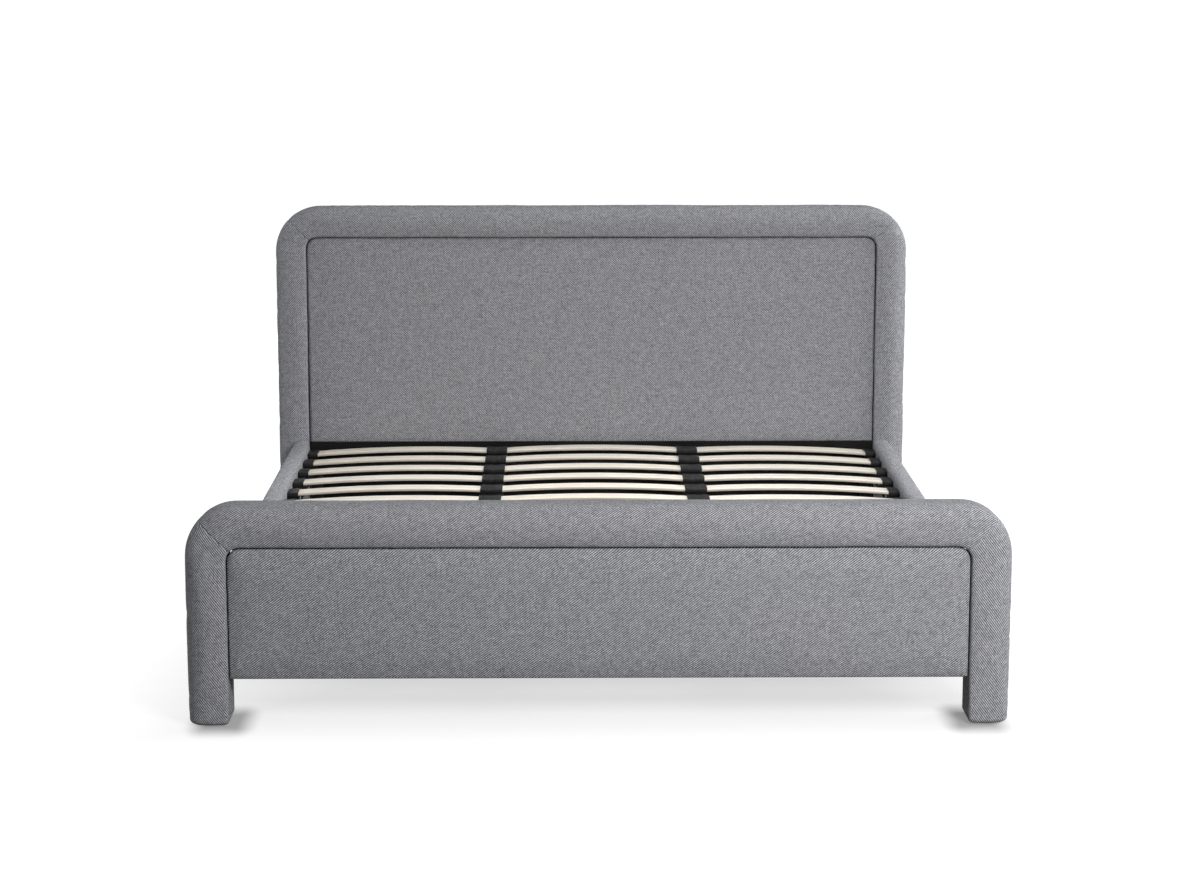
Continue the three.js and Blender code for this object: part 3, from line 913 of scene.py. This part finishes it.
def make_slat_tree():
    """A slat: a rounded section carried along a bowed line, with the height in its plies kept."""
    tree, start, end = node_tree("bowed_slat", [
        ("Start", "NodeSocketVector"), ("Bow Point", "NodeSocketVector"), ("End", "NodeSocketVector"),
        ("Width", "NodeSocketFloat"), ("Thickness", "NodeSocketFloat"), ("Edge", "NodeSocketFloat"),
        ("Tone", "NodeSocketFloat"), ("Material", "NodeSocketMaterial")])
    path = add_node(tree, "GeometryNodeCurveQuadraticBezier", {
        "Resolution": 18, "Start": start.outputs["Start"], "Middle": start.outputs["Bow Point"],
        "End": start.outputs["End"]})
    upright = add_node(tree, "GeometryNodeSetCurveNormal", {"Curve": path.outputs[0]}, mode="Z_UP")
    section = add_node(tree, "GeometryNodeCurvePrimitiveQuadrilateral", {
        "Width": start.outputs["Width"], "Height": start.outputs["Thickness"]})
    rounded = add_node(tree, "GeometryNodeFilletCurve", {
        "Curve": section.outputs[0], "Count": 3, "Radius": start.outputs["Edge"]}, mode="POLY")
    position = add_node(tree, "GeometryNodeInputPosition")
    place = add_node(tree, "ShaderNodeSeparateXYZ", {0: position.outputs[0]})
    share = add_node(tree, "ShaderNodeMath", {0: place.outputs["Y"], 1: start.outputs["Thickness"]},
                     operation="DIVIDE")
    kept = add_node(tree, "GeometryNodeStoreNamedAttribute", {
        "Geometry": rounded.outputs[0], "Name": "ply_height", "Value": share.outputs[0]},
        data_type="FLOAT", domain="POINT")
    solid = add_node(tree, "GeometryNodeCurveToMesh", {
        "Curve": upright.outputs[0], "Profile Curve": kept.outputs[0], "Fill Caps": True})
    toned = add_node(tree, "GeometryNodeStoreNamedAttribute", {
        "Geometry": solid.outputs[0], "Name": "slat_tone", "Value": start.outputs["Tone"]},
        data_type="FLOAT", domain="POINT")
    whole = add_node(tree, "GeometryNodeRealizeInstances", {"Geometry": toned.outputs[0]})
    painted = add_node(tree, "GeometryNodeSetMaterial", {
        "Geometry": whole.outputs[0], "Material": start.outputs["Material"]})
    tree.links.new(painted.outputs[0], end.inputs[0])
    return tree


slat_tree = make_slat_tree()


def finish_plain_mesh(obj, smooth=35.0):
    """Outward faces and smooth shading for a mesh made by nodes."""
    shell = bmesh.new()
    shell.from_mesh(obj.data)
    bmesh.ops.remove_doubles(shell, verts=shell.verts, dist=1e-6)
    bmesh.ops.recalc_face_normals(shell, faces=shell.faces)
    shell.to_mesh(obj.data)
    shell.free()
    smooth_faces(obj.data, smooth)


def slat_line(column, row):
    """Start, bow point and end of a slat's middle line, from its CAD box."""
    low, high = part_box("slat_%s_%02d" % (column, row))
    y = (low.y + high.y) / 2
    half = SLAT_THICKNESS / 2
    side_z = low.z + half
    inner_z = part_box("slat_centre_01")[0].z + half
    ends = {"left": (side_z, inner_z), "centre": (inner_z, inner_z), "right": (inner_z, side_z)}[column]
    middle = ((low.x + high.x) / 2, y, sum(ends) / 2 + 2 * SLAT_BOW)
    return Vector((low.x, y, ends[0])), Vector(middle), Vector((high.x, y, ends[1]))


ROWS = sum(name.startswith("slat_centre_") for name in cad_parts)
COLUMNS = ("left", "centre", "right")
tones = np.random.default_rng(7).beta(1.3, 2.4, (ROWS, 3))
for row in range(1, ROWS + 1):
    for index, column in enumerate(COLUMNS):
        first, bow, last = slat_line(column, row)
        slat = made_by_nodes("birch_slat_%s_%02d" % (column, row), slat_tree, {
            "Start": first, "Bow Point": bow, "End": last, "Width": SLAT_WIDTH,
            "Thickness": SLAT_THICKNESS, "Edge": SLAT_EDGE, "Tone": float(tones[row - 1, index]),
            "Material": birch})
        finish_plain_mesh(slat)
        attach(slat, "bed")
        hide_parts("slat_%s_%02d" % (column, row))

# ---- Slat caps ---------------------------------------------------------------------------------
# Black moulded sleeves that hold the slat ends: single ones on the battens and double ones on the
# beams. The walls are slightly crowned, with grip ribs and a rounded mouth.

CAP_LENGTH = 0.070
CAP_WALL = 0.0034
CAP_REACH = 0.033
CAP_CORNER = 0.0035
CAP_RIB = 0.0005
SLAT_CLEARANCE = 0.0004


def make_black_plastic():
    """Moulded black plastic with a fine spark texture and patches of dust here and there."""
    material, tree, shader = new_material("moulded_black", 0.5, Specular_IOR_Level=0.36)
    place = object_coordinate(tree)
    spark = noise_value(tree, place, 1400.0, 2.0)
    cloud = noise_value(tree, place, 30.0, 3.0)
    mask = ramp(tree, cloud, (0.45, (0, 0, 0, 1)), (0.75, (0.5, 0.5, 0.5, 1)))
    color = mix_colors(tree, mask, (0.013, 0.013, 0.014, 1), (0.030, 0.030, 0.031, 1))
    tree.links.new(color, shader.inputs["Base Color"])
    raise_surface(tree, shader, spark, 0.0002, 0.5)
    return material


black_plastic = make_black_plastic()


def cap_ring(x, y, bottom, top, half_length, corner):
    """Rounded rectangle across a cap, at x."""
    points = []
    for cy, cz, start in ((1, 1, 0), (-1, 1, 90), (-1, -1, 180), (1, -1, 270)):
        for k in range(4):
            angle = math.radians(start + 30 * k)
            points.append((x, y + cy * (half_length - corner) + corner * math.cos(angle),
                           (top - corner if cz > 0 else bottom + corner) + corner * math.sin(angle)))
    return points


def slat_height(first, bow, last, x):
    """Height of a slat's middle line at x."""
    t = (x - first.x) / (last.x - first.x)
    return (1 - t) ** 2 * first.z + 2 * t * (1 - t) * bow.z + t * t * last.z


def half_cap(line, back, mouth, bottom, y):
    """Rings from the back of a cap's wall out to its mouth and in to the end of its pocket."""
    direction = math.copysign(1.0, mouth - back)
    half = CAP_LENGTH / 2
    rings = []
    reach = abs(mouth - back)
    for share, rib in ((0.0, -1.2), (0.03, 0), (0.25, 0), (0.29, 1), (0.35, 1), (0.39, 0), (0.55, 0),
                       (0.59, 1), (0.65, 1), (0.69, 0), (0.90, 0), (0.97, 0.6), (1.0, -0.4)):
        x = back + direction * reach * share
        top = slat_height(*line, x) + SLAT_THICKNESS / 2 + CAP_WALL + rib * CAP_RIB
        rings.append(cap_ring(x, y, bottom, top, half + rib * CAP_RIB * 0.6, CAP_CORNER))
    for share, flare in ((1.0, 0.0009), (0.96, 0.0), (0.60, 0.0), (0.28, 0.0)):
        x = back + direction * reach * share
        z = slat_height(*line, x)
        gap = SLAT_CLEARANCE + flare
        rings.append(cap_ring(x, y, z - SLAT_THICKNESS / 2 - gap, z + SLAT_THICKNESS / 2 + gap,
                              SLAT_WIDTH / 2 + gap, 0.002))
    return rings


def cap_piece(name, rings, node):
    faces = tube_faces(len(rings), len(rings[0]))
    cap = mesh_object(name, [p for ring in rings for p in ring], faces, None, black_plastic, 50.0)
    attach(cap, "bed")
    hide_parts(node)


for row in range(1, ROWS + 1):
    lines = {column: slat_line(column, row) for column in COLUMNS}
    y = lines["centre"][0].y
    for side, sign in (("left", -1), ("right", 1)):
        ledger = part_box("slat_ledger_" + side)
        wall = ledger[1].x if sign > 0 else ledger[0].x
        single = half_cap(lines[side], wall, wall - sign * CAP_REACH, LEDGER_TOP, y)
        cap_piece("single_cap_%s_%02d" % (side, row), single, "slat_ledger_" + side)
        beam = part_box("centre_rail_" + side)
        middle = (beam[0].x + beam[1].x) / 2
        bottom = beam[0].z + BEAM_HEIGHT
        outward = half_cap(lines[side], middle, middle + sign * CAP_REACH, bottom, y)
        inward = half_cap(lines["centre"], middle, middle - sign * CAP_REACH, bottom, y)
        cap_piece("double_cap_%s_%02d" % (side, row), inward[:0:-1] + outward[1:], "centre_rail_" + side)

# ---- Screws, bolts and staples -----------------------------------------------------------------
# Zinc-plated pan-head screws along the battens and wire staples that hold the cloth under the side
# rails, and black enamelled bolts through the black end boards into the headboard and footboard.


def make_zinc():
    """Zinc plate: a fine grain in its surface, and a slight blue and yellow cast that drifts."""
    material, tree, shader = new_material("zinc_plate", 0.36, Metallic=1.0)
    place = object_coordinate(tree)
    cast = noise_value(tree, place, 35.0, 2.0)
    color = mix_colors(tree, cast, (0.56, 0.58, 0.62, 1), (0.66, 0.63, 0.54, 1))
    tree.links.new(color, shader.inputs["Base Color"])
    rough = calc(tree, "MULTIPLY_ADD", noise_value(tree, place, 160.0, 3.0), 0.22, 0.24)
    tree.links.new(rough, shader.inputs["Roughness"])
    raise_surface(tree, shader, noise_value(tree, place, 700.0, 2.0), 0.0002, 0.4)
    return material


zinc = make_zinc()


def make_black_steel():
    """Black baked enamel on pressed steel, rubbed brown-grey here and there."""
    material, tree, shader = new_material("black_enamel", 0.42, Specular_IOR_Level=0.4)
    place = object_coordinate(tree)
    rub = ramp(tree, noise_value(tree, place, 55.0, 4.0), (0.58, (0, 0, 0, 1)), (0.76, (0.6, 0.6, 0.6, 1)))
    color = mix_colors(tree, rub, (0.014, 0.014, 0.015, 1), (0.055, 0.050, 0.046, 1))
    tree.links.new(color, shader.inputs["Base Color"])
    raise_surface(tree, shader, noise_value(tree, place, 900.0, 2.0), 0.0002, 0.35)
    return material


black_steel = make_black_steel()


def make_row_tree():
    """Copies of one part, set out along a straight line."""
    tree, start, end = node_tree("row_of_parts", [
        ("Part", "NodeSocketObject"), ("Count", "NodeSocketInt"), ("Start", "NodeSocketVector"),
        ("Step", "NodeSocketVector"), ("Turn", "NodeSocketRotation"), ("Material", "NodeSocketMaterial")])
    line = add_node(tree, "GeometryNodeMeshLine", {
        "Count": start.outputs["Count"], "Start Location": start.outputs["Start"],
        "Offset": start.outputs["Step"]}, mode="OFFSET", count_mode="TOTAL")
    part = add_node(tree, "GeometryNodeObjectInfo", {"Object": start.outputs["Part"]})
    copies = add_node(tree, "GeometryNodeInstanceOnPoints", {
        "Points": line.outputs[0], "Instance": part.outputs["Geometry"], "Rotation": start.outputs["Turn"]})
    whole = add_node(tree, "GeometryNodeRealizeInstances", {"Geometry": copies.outputs[0]})
    painted = add_node(tree, "GeometryNodeSetMaterial", {
        "Geometry": whole.outputs[0], "Material": start.outputs["Material"]})
    tree.links.new(painted.outputs[0], end.inputs[0])
    return tree


row_tree = make_row_tree()


def turned_mesh(name, profile, sides, hexagon_rows=()):
    """A mesh turned about Z from (radius, height) points; some rows can be hexagons."""
    points = []
    for k, (radius, height) in enumerate(profile):
        for s in range(sides):
            angle = 2 * math.pi * s / sides
            r = radius
            if k in hexagon_rows:
                r = radius * math.cos(math.pi / 6) / math.cos((angle % (math.pi / 3)) - math.pi / 6)
            points.append((r * math.cos(angle), r * math.sin(angle), height))
    mesh = bpy.data.meshes.new(name)
    mesh.from_pydata(points, [], tube_faces(len(profile), sides))
    mesh.update()
    return mesh


def pattern_part(mesh):
    """A part that only the rows of copies read."""
    part = bpy.data.objects.new(mesh.name, mesh)
    scene.collection.objects.link(part)
    return part


def row_of(name, part, count, first, step, turn, material, smooth=35.0):
    row = made_by_nodes(name, row_tree, {"Part": part, "Count": count, "Start": Vector(first),
                                         "Step": Vector(step), "Turn": turn, "Material": material})
    finish_plain_mesh(row, smooth)
    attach(row, "bed")


def screw_head():
    """A pan head with a six-pointed socket, drive side up."""
    profile = [(0.0042, 0.0), (0.0046, 0.0006), (0.0044, 0.0016), (0.0036, 0.0023), (0.0026, 0.0026),
               (0.0018, 0.0026), (0.0016, 0.0010)]
    return pattern_part(turned_mesh("screw_head", profile, 18, hexagon_rows=(5, 6)))


def bolt_head():
    """A hexagon flange bolt head."""
    profile = [(0.0105, 0.0), (0.0105, 0.0012), (0.0078, 0.0020), (0.0076, 0.0056), (0.0068, 0.0064)]
    return pattern_part(turned_mesh("bolt_head", profile, 24, hexagon_rows=(2, 3)))


def staple():
    """The crown of a wire staple, lying along X, legs up into the wood."""
    path = [(-0.0055, 0.0012), (-0.0055, -0.0001), (-0.0050, -0.0006), (0.0050, -0.0006),
            (0.0055, -0.0001), (0.0055, 0.0012)]
    half = 0.00035
    points = []
    for x, z in path:
        lean = 1.0 if abs(x) > 0.0052 else 0.0
        for side_y, side_out in ((-1, -1), (1, -1), (1, 1), (-1, 1)):
            out = side_out * half
            points.append((x + math.copysign(out, x) * lean, side_y * half * 1.6, z - out * (1 - lean)))
    mesh = bpy.data.meshes.new("staple")
    mesh.from_pydata(points, [], tube_faces(len(path), 4))
    return pattern_part(mesh)


screw_part, bolt_part, staple_part = screw_head(), bolt_head(), staple()

SCREW_SINK = 0.0003
for side, sign in (("left", -1), ("right", 1)):
    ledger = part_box("slat_ledger_" + side)
    outer = ledger[1].x if sign > 0 else ledger[0].x
    face = outer - sign * (LEDGER_WIDTH - SCREW_SINK)
    level = (ledger[0].z + LEDGER_TOP) / 2
    row_of("batten_screws_" + side, screw_part, 11, (face, ledger[0].y + 0.046, level),
           (0, 0.194, 0), (0, -sign * math.pi / 2, 0), zinc)
    plank_low, plank_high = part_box("side_rail_" + side)
    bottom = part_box("side_rail_cover_" + side)[0].z
    for lap, x in (("inner", plank_low.x + 0.007), ("outer", plank_high.x - 0.007)):
        row_of("rail_staples_%s_%s" % (side, lap), staple_part, 44,
               (x, plank_low.y + 0.030, bottom + 0.0002),
               (0, 0.0466, 0), (0, 0, math.radians(72)), zinc)

for node, direction in (("head_rail", -1), ("foot_rail", 1)):
    low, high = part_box(node)
    face = low.y + SCREW_SINK if direction < 0 else high.y - SCREW_SINK
    for level, z in (("lower", low.z + 0.045), ("upper", low.z + 0.105)):
        row_of("%s_bolts_%s" % (node, level), bolt_part, 4, (-0.57, face, z), (0.38, 0, 0),
               (-direction * math.pi / 2, 0, 0), black_steel)

# ---- Corner brackets and beam hangers ----------------------------------------------------------
# Pressed steel: an angle in each corner joins a side rail to the end board, and a stirrup at each
# end carries a centre beam.

STEEL = 0.003
BRACKET_LEG = 0.040
BRACKET_LOW, BRACKET_HIGH = 0.138, 0.238
CONTACT_GAP = 0.0003


def bracket(name, corner_x, corner_y, toward_x, toward_y):
    """An angle whose legs lie on the rail's face and on the end board's face."""
    def fill(shell):
        legs = [(0, 0), (BRACKET_LEG, 0), (BRACKET_LEG, STEEL), (STEEL * 1.6, STEEL), (STEEL, STEEL * 1.6),
                (STEEL, BRACKET_LEG), (0, BRACKET_LEG)]
        outline = [(corner_x + toward_x * (CONTACT_GAP + a), corner_y + toward_y * (CONTACT_GAP + b))
                   for a, b in legs]
        add_prism(shell, [(x, y, BRACKET_LOW) for x, y in outline],
                  [(x, y, BRACKET_HIGH) for x, y in outline])
    return hard_piece(name, fill, black_steel, edge=0.0006, segments=2)


board_faces = {"foot": (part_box("foot_rail")[1].y, 1), "head": (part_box("head_rail")[0].y, -1)}
for side, sign in (("left", -1), ("right", 1)):
    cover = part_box("side_rail_cover_" + side)
    rail_face = cover[0].x if sign > 0 else cover[1].x
    for end, (board_face, toward) in board_faces.items():
        bracket("corner_bracket_%s_%s" % (end, side), rail_face, board_face, -sign, toward)
        head_offset = STEEL + CONTACT_GAP - SCREW_SINK
        middle = CONTACT_GAP + 0.6 * BRACKET_LEG
        row_of("rail_bolts_%s_%s" % (end, side), bolt_part, 2,
               (rail_face - sign * head_offset, board_face + toward * middle, BRACKET_LOW + 0.022),
               (0, 0, 0.056), (0, -sign * math.pi / 2, 0), black_steel)
        row_of("board_bolts_%s_%s" % (end, side), bolt_part, 2,
               (rail_face - sign * middle, board_face + toward * head_offset, BRACKET_LOW + 0.022),
               (0, 0, 0.056), (-toward * math.pi / 2, 0, 0), black_steel)


def hanger(name, beam_low, middle_x, board_face, toward):
    """A stirrup: a strap under and beside the beam, with a flange on each side against the board."""
    half = BEAM_WIDTH / 2 + CONTACT_GAP
    reach, flange, side_height = 0.036, 0.024, 0.040
    start = board_face + toward * CONTACT_GAP

    def fill(shell):
        z0 = beam_low - CONTACT_GAP - STEEL
        outline = [(-half - STEEL, z0 + side_height), (-half - STEEL, z0), (half + STEEL, z0),
                   (half + STEEL, z0 + side_height), (half, z0 + side_height), (half, z0 + STEEL),
                   (-half, z0 + STEEL), (-half, z0 + side_height)]
        add_prism(shell, [(middle_x + x, start, z) for x, z in outline],
                  [(middle_x + x, start + toward * reach, z) for x, z in outline])
        for sign in (-1, 1):
            inner = middle_x + sign * (half + STEEL)
            outer = inner + sign * flange
            ys = sorted((start, start + toward * STEEL))
            add_block(shell, (min(inner, outer), ys[0], z0), (max(inner, outer), ys[1], z0 + side_height))
    return hard_piece(name, fill, black_steel, edge=0.0006, segments=2)


for side, sign in (("left", -1), ("right", 1)):
    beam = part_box("centre_rail_" + side)
    middle = (beam[0].x + beam[1].x) / 2
    for end, (board_face, toward) in board_faces.items():
        hanger("beam_hanger_%s_%s" % (end, side), beam[0].z, middle, board_face, toward)
        offset = BEAM_WIDTH / 2 + STEEL + 0.013
        row_of("hanger_screws_%s_%s" % (end, side), screw_part, 2,
               (middle - offset, board_face + toward * (STEEL + CONTACT_GAP - 0.0001), beam[0].z + 0.016),
               (2 * offset, 0, 0), (-toward * math.pi / 2, 0, 0), black_steel)

# ---- Support legs, levelling feet and glides ---------------------------------------------------
# A black wooden post under the middle of each beam, screwed on through its plate. A threaded foot
# in each post takes up an uneven floor. Plastic glides are nailed under the four upholstered legs.

for side in ("left", "right"):
    node = "support_leg_" + side
    finish_cad_node(node, black_paint)
    soften_edges(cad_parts[node], 0.0012, 2)
    low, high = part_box(node)
    middle = (low.x + high.x) / 2
    plate = 0.004
    row_of("leg_screws_" + side, screw_part, 2, (middle, low.y + 0.016, high.z - plate + 0.0001),
           (0, high.y - low.y - 0.032, 0), (math.pi, 0, 0), zinc)


def lathe_piece(name, profile, sides, place, material, body, nodes=(), hexagon_rows=()):
    """A turned piece that stands at a place."""
    mesh = turned_mesh(name, profile, sides, hexagon_rows)
    for vertex in mesh.vertices:
        vertex.co = vertex.co + Vector(place)
    smooth_faces(mesh, 35)
    mesh.materials.append(material)
    piece = bpy.data.objects.new(name, mesh)
    scene.collection.objects.link(piece)
    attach(piece, body)
    if nodes:
        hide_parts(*nodes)
    return piece


FOOT_RADIUS = 0.022
FOOT_HEIGHT = 0.008
STEM_RADIUS = 0.005
THREAD_PITCH = 0.0015
THREAD_DEPTH = 0.0005
for side in ("left", "right"):
    node = "levelling_foot_" + side
    low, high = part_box(node)
    place = ((low.x + high.x) / 2, (low.y + high.y) / 2, low.z)
    pad = [(0.0150, 0.0), (FOOT_RADIUS - 0.0012, 0.0), (FOOT_RADIUS, 0.0010), (FOOT_RADIUS, 0.0034),
           (FOOT_RADIUS - 0.0010, 0.0046), (0.0125, 0.0058), (0.0105, 0.0072),
           (0.0095, FOOT_HEIGHT - 0.0002), (0.0060, FOOT_HEIGHT)]
    lathe_piece("levelling_pad_" + side, pad, 48, place, black_plastic,
                "foot_screw_" + side, [node])
    nut = [(0.0060, FOOT_HEIGHT + 0.0001), (0.0080, FOOT_HEIGHT + 0.0002), (0.0085, FOOT_HEIGHT + 0.0005),
           (0.0085, FOOT_HEIGHT + 0.0014), (0.0080, FOOT_HEIGHT + 0.0018)]
    stem = nut + [(STEM_RADIUS, FOOT_HEIGHT + 0.0019)]
    z = FOOT_HEIGHT + 0.0023
    while z < high.z - low.z - 2 * THREAD_PITCH:
        stem += [(STEM_RADIUS - THREAD_DEPTH, z), (STEM_RADIUS, z + 0.5 * THREAD_PITCH)]
        z += THREAD_PITCH
    stem += [(STEM_RADIUS - THREAD_DEPTH, z), (STEM_RADIUS - 0.0012, high.z - low.z)]
    lathe_piece("levelling_screw_" + side, stem, 36, place, zinc,
                "foot_screw_" + side, [node], hexagon_rows=(1, 2, 3, 4))

GLIDE_RADIUS = 0.019
glide = [(GLIDE_RADIUS - 0.003, 0.0), (GLIDE_RADIUS - 0.0008, 0.0007), (GLIDE_RADIUS, 0.002),
         (GLIDE_RADIUS, GLIDE_HEIGHT)]
for end, low, high, border in (("head", head_low, head_high, HEAD_BORDER),
                               ("foot", foot_low, foot_high, FOOT_BORDER)):
    for side, sign in (("left", -1), ("right", 1)):
        place = (sign * (high.x - border / 2), (low.y + high.y) / 2, 0.0)
        lathe_piece("glide_%s_%s" % (end, side), glide, 36, place, black_plastic, "bed")

for part in (screw_part, bolt_part, staple_part):
    bpy.data.objects.remove(part)

# ---- Studio ------------------------------------------------------------------------------------
# White floor and surroundings. The floor's glow, seen only by the camera, is dimmed under the bed and round
# each leg as a painted shadow.
# Soft lamps stand on the right and the left of the headboard, behind it and in front of the foot end. One
# hangs over the headboard and a narrow one over the slats.

floor_mesh = bpy.data.meshes.new("studio_floor")
floor_mesh.from_pydata([(-40, -40, 0), (40, -40, 0), (40, 60, 0), (-40, 60, 0)], [], [(0, 1, 2, 3)])
floor = bpy.data.objects.new("studio_floor", floor_mesh)
scene.collection.objects.link(floor)

FLOOR_WHITE = 0.25
FLOOR_GLOW = 0.62  # of the floor under the bed, dimmed there as a painted shadow; it rises to full white round it
GLOW_FADE = 0.5
LEG_SHADE_X = (0.940, 0.038)  # middle and half width of the painted soft shadow at each leg
LEG_SHADE_Y = (1.085, 0.055)
LEG_SHADE_SHARE_Y = 0.55  # it reaches further along the bed than across it
LEG_SHADE_FADE = 0.062
LEG_SHADE_GLOW = 0.28
floor_material = bpy.data.materials.new("white_floor")
floor_material.use_nodes = True
floor_tree = floor_material.node_tree
floor_shader = floor_tree.nodes["Principled BSDF"]
floor_shader.inputs["Base Color"].default_value = (FLOOR_WHITE, FLOOR_WHITE, FLOOR_WHITE, 1)
floor_shader.inputs["Roughness"].default_value = 1.0
floor_shader.inputs["Specular IOR Level"].default_value = 0.0
floor_shader.inputs["Emission Color"].default_value = (1, 1, 1, 1)
spot = floor_tree.nodes.new("ShaderNodeSeparateXYZ")
floor_tree.links.new(object_coordinate(floor_tree), spot.inputs[0])


def past_edge(value, middle, half):
    """How far a floor coordinate, either side of the centre, lies past an edge."""
    off = calc(floor_tree, "SUBTRACT", calc(floor_tree, "ABSOLUTE", value), middle)
    return calc(floor_tree, "SUBTRACT", calc(floor_tree, "ABSOLUTE", off), half)


def smooth_rise(value, first, last, low, high=1.0):
    """A soft step from low to high, between two distances."""
    node = floor_tree.nodes.new("ShaderNodeMapRange")
    node.interpolation_type = "SMOOTHSTEP"
    floor_tree.links.new(value, node.inputs["Value"])
    for label, number in (("From Min", first), ("From Max", last), ("To Min", low), ("To Max", high)):
        node.inputs[label].default_value = number
    return node.outputs["Result"]


outside = calc(floor_tree, "MAXIMUM", past_edge(spot.outputs["X"], 0.0, cad_high.x),
               past_edge(spot.outputs["Y"], 0.0, cad_high.y))
# Painted shadow: the floor's glow is lower under the bed.
glow = smooth_rise(outside, -GLOW_FADE, GLOW_FADE, FLOOR_GLOW)
leg_x = calc(floor_tree, "MAXIMUM", past_edge(spot.outputs["X"], *LEG_SHADE_X), 0.0)
leg_y = calc(floor_tree, "MAXIMUM", past_edge(spot.outputs["Y"], *LEG_SHADE_Y), 0.0)
leg_y = calc(floor_tree, "MULTIPLY", leg_y, LEG_SHADE_SHARE_Y)
from_leg = calc(floor_tree, "SQRT", calc(floor_tree, "ADD", calc(floor_tree, "MULTIPLY", leg_x, leg_x),
                                         calc(floor_tree, "MULTIPLY", leg_y, leg_y)))
# Painted shadow: the floor's glow dims round each leg.
shade = smooth_rise(from_leg, -0.01, LEG_SHADE_FADE, LEG_SHADE_GLOW)
seen = floor_tree.nodes.new("ShaderNodeLightPath").outputs["Is Camera Ray"]
floor_tree.links.new(calc(floor_tree, "MULTIPLY", seen, calc(floor_tree, "MULTIPLY", glow, shade)),
                     floor_shader.inputs["Emission Strength"])
floor_mesh.materials.append(floor_material)

WORLD_STRENGTH = 0.12
world = bpy.data.worlds.new("studio")
world.use_nodes = True
world_tree = world.node_tree
background = world_tree.nodes["Background"]
background.inputs["Color"].default_value = (1, 1, 1, 1)
looking = world_tree.nodes.new("ShaderNodeLightPath").outputs["Is Camera Ray"]
world_tree.links.new(calc(world_tree, "MULTIPLY_ADD", looking, 1.2 - WORLD_STRENGTH, WORLD_STRENGTH),
                     background.inputs["Strength"])
scene.world = world
scene.view_settings.view_transform = "Standard"


def soft_lamp(name, place, aim, size, power, spread=180):
    data = bpy.data.lights.new(name, "AREA")
    data.shape = "RECTANGLE"
    data.size, data.size_y = size
    data.energy = power
    data.spread = math.radians(spread)
    lamp = bpy.data.objects.new(name, data)
    lamp.location = place
    lamp.rotation_euler = (Vector(aim) - Vector(place)).to_track_quat("-Z", "Y").to_euler()
    scene.collection.objects.link(lamp)


soft_lamp("side_lamp", (5.0, 0.6, 2.0), (0.2, 0.8, 0.7), (2.0, 2.0), 135)
soft_lamp("top_lamp", (0.5, 1.4, 3.6), (0.0, 0.6, 0.0), (3.0, 3.0), 10)
soft_lamp("front_lamp", (1.8, -4.0, 2.4), (0.4, -1.1, 0.3), (1.5, 1.5), 119)
soft_lamp("left_lamp", (-5.0, 0.6, 1.6), (0.0, 0.8, 0.6), (2.0, 2.0), 44)
soft_lamp("back_lamp", (-1.5, 6.2, 1.2), (0.0, 1.1, 0.5), (2.0, 1.6), 70)
soft_lamp("slat_lamp", (0.1, 0.25, 2.7), (0.1, 0.25, 0.0), (2.0, 0.9), 5.5, spread=50)
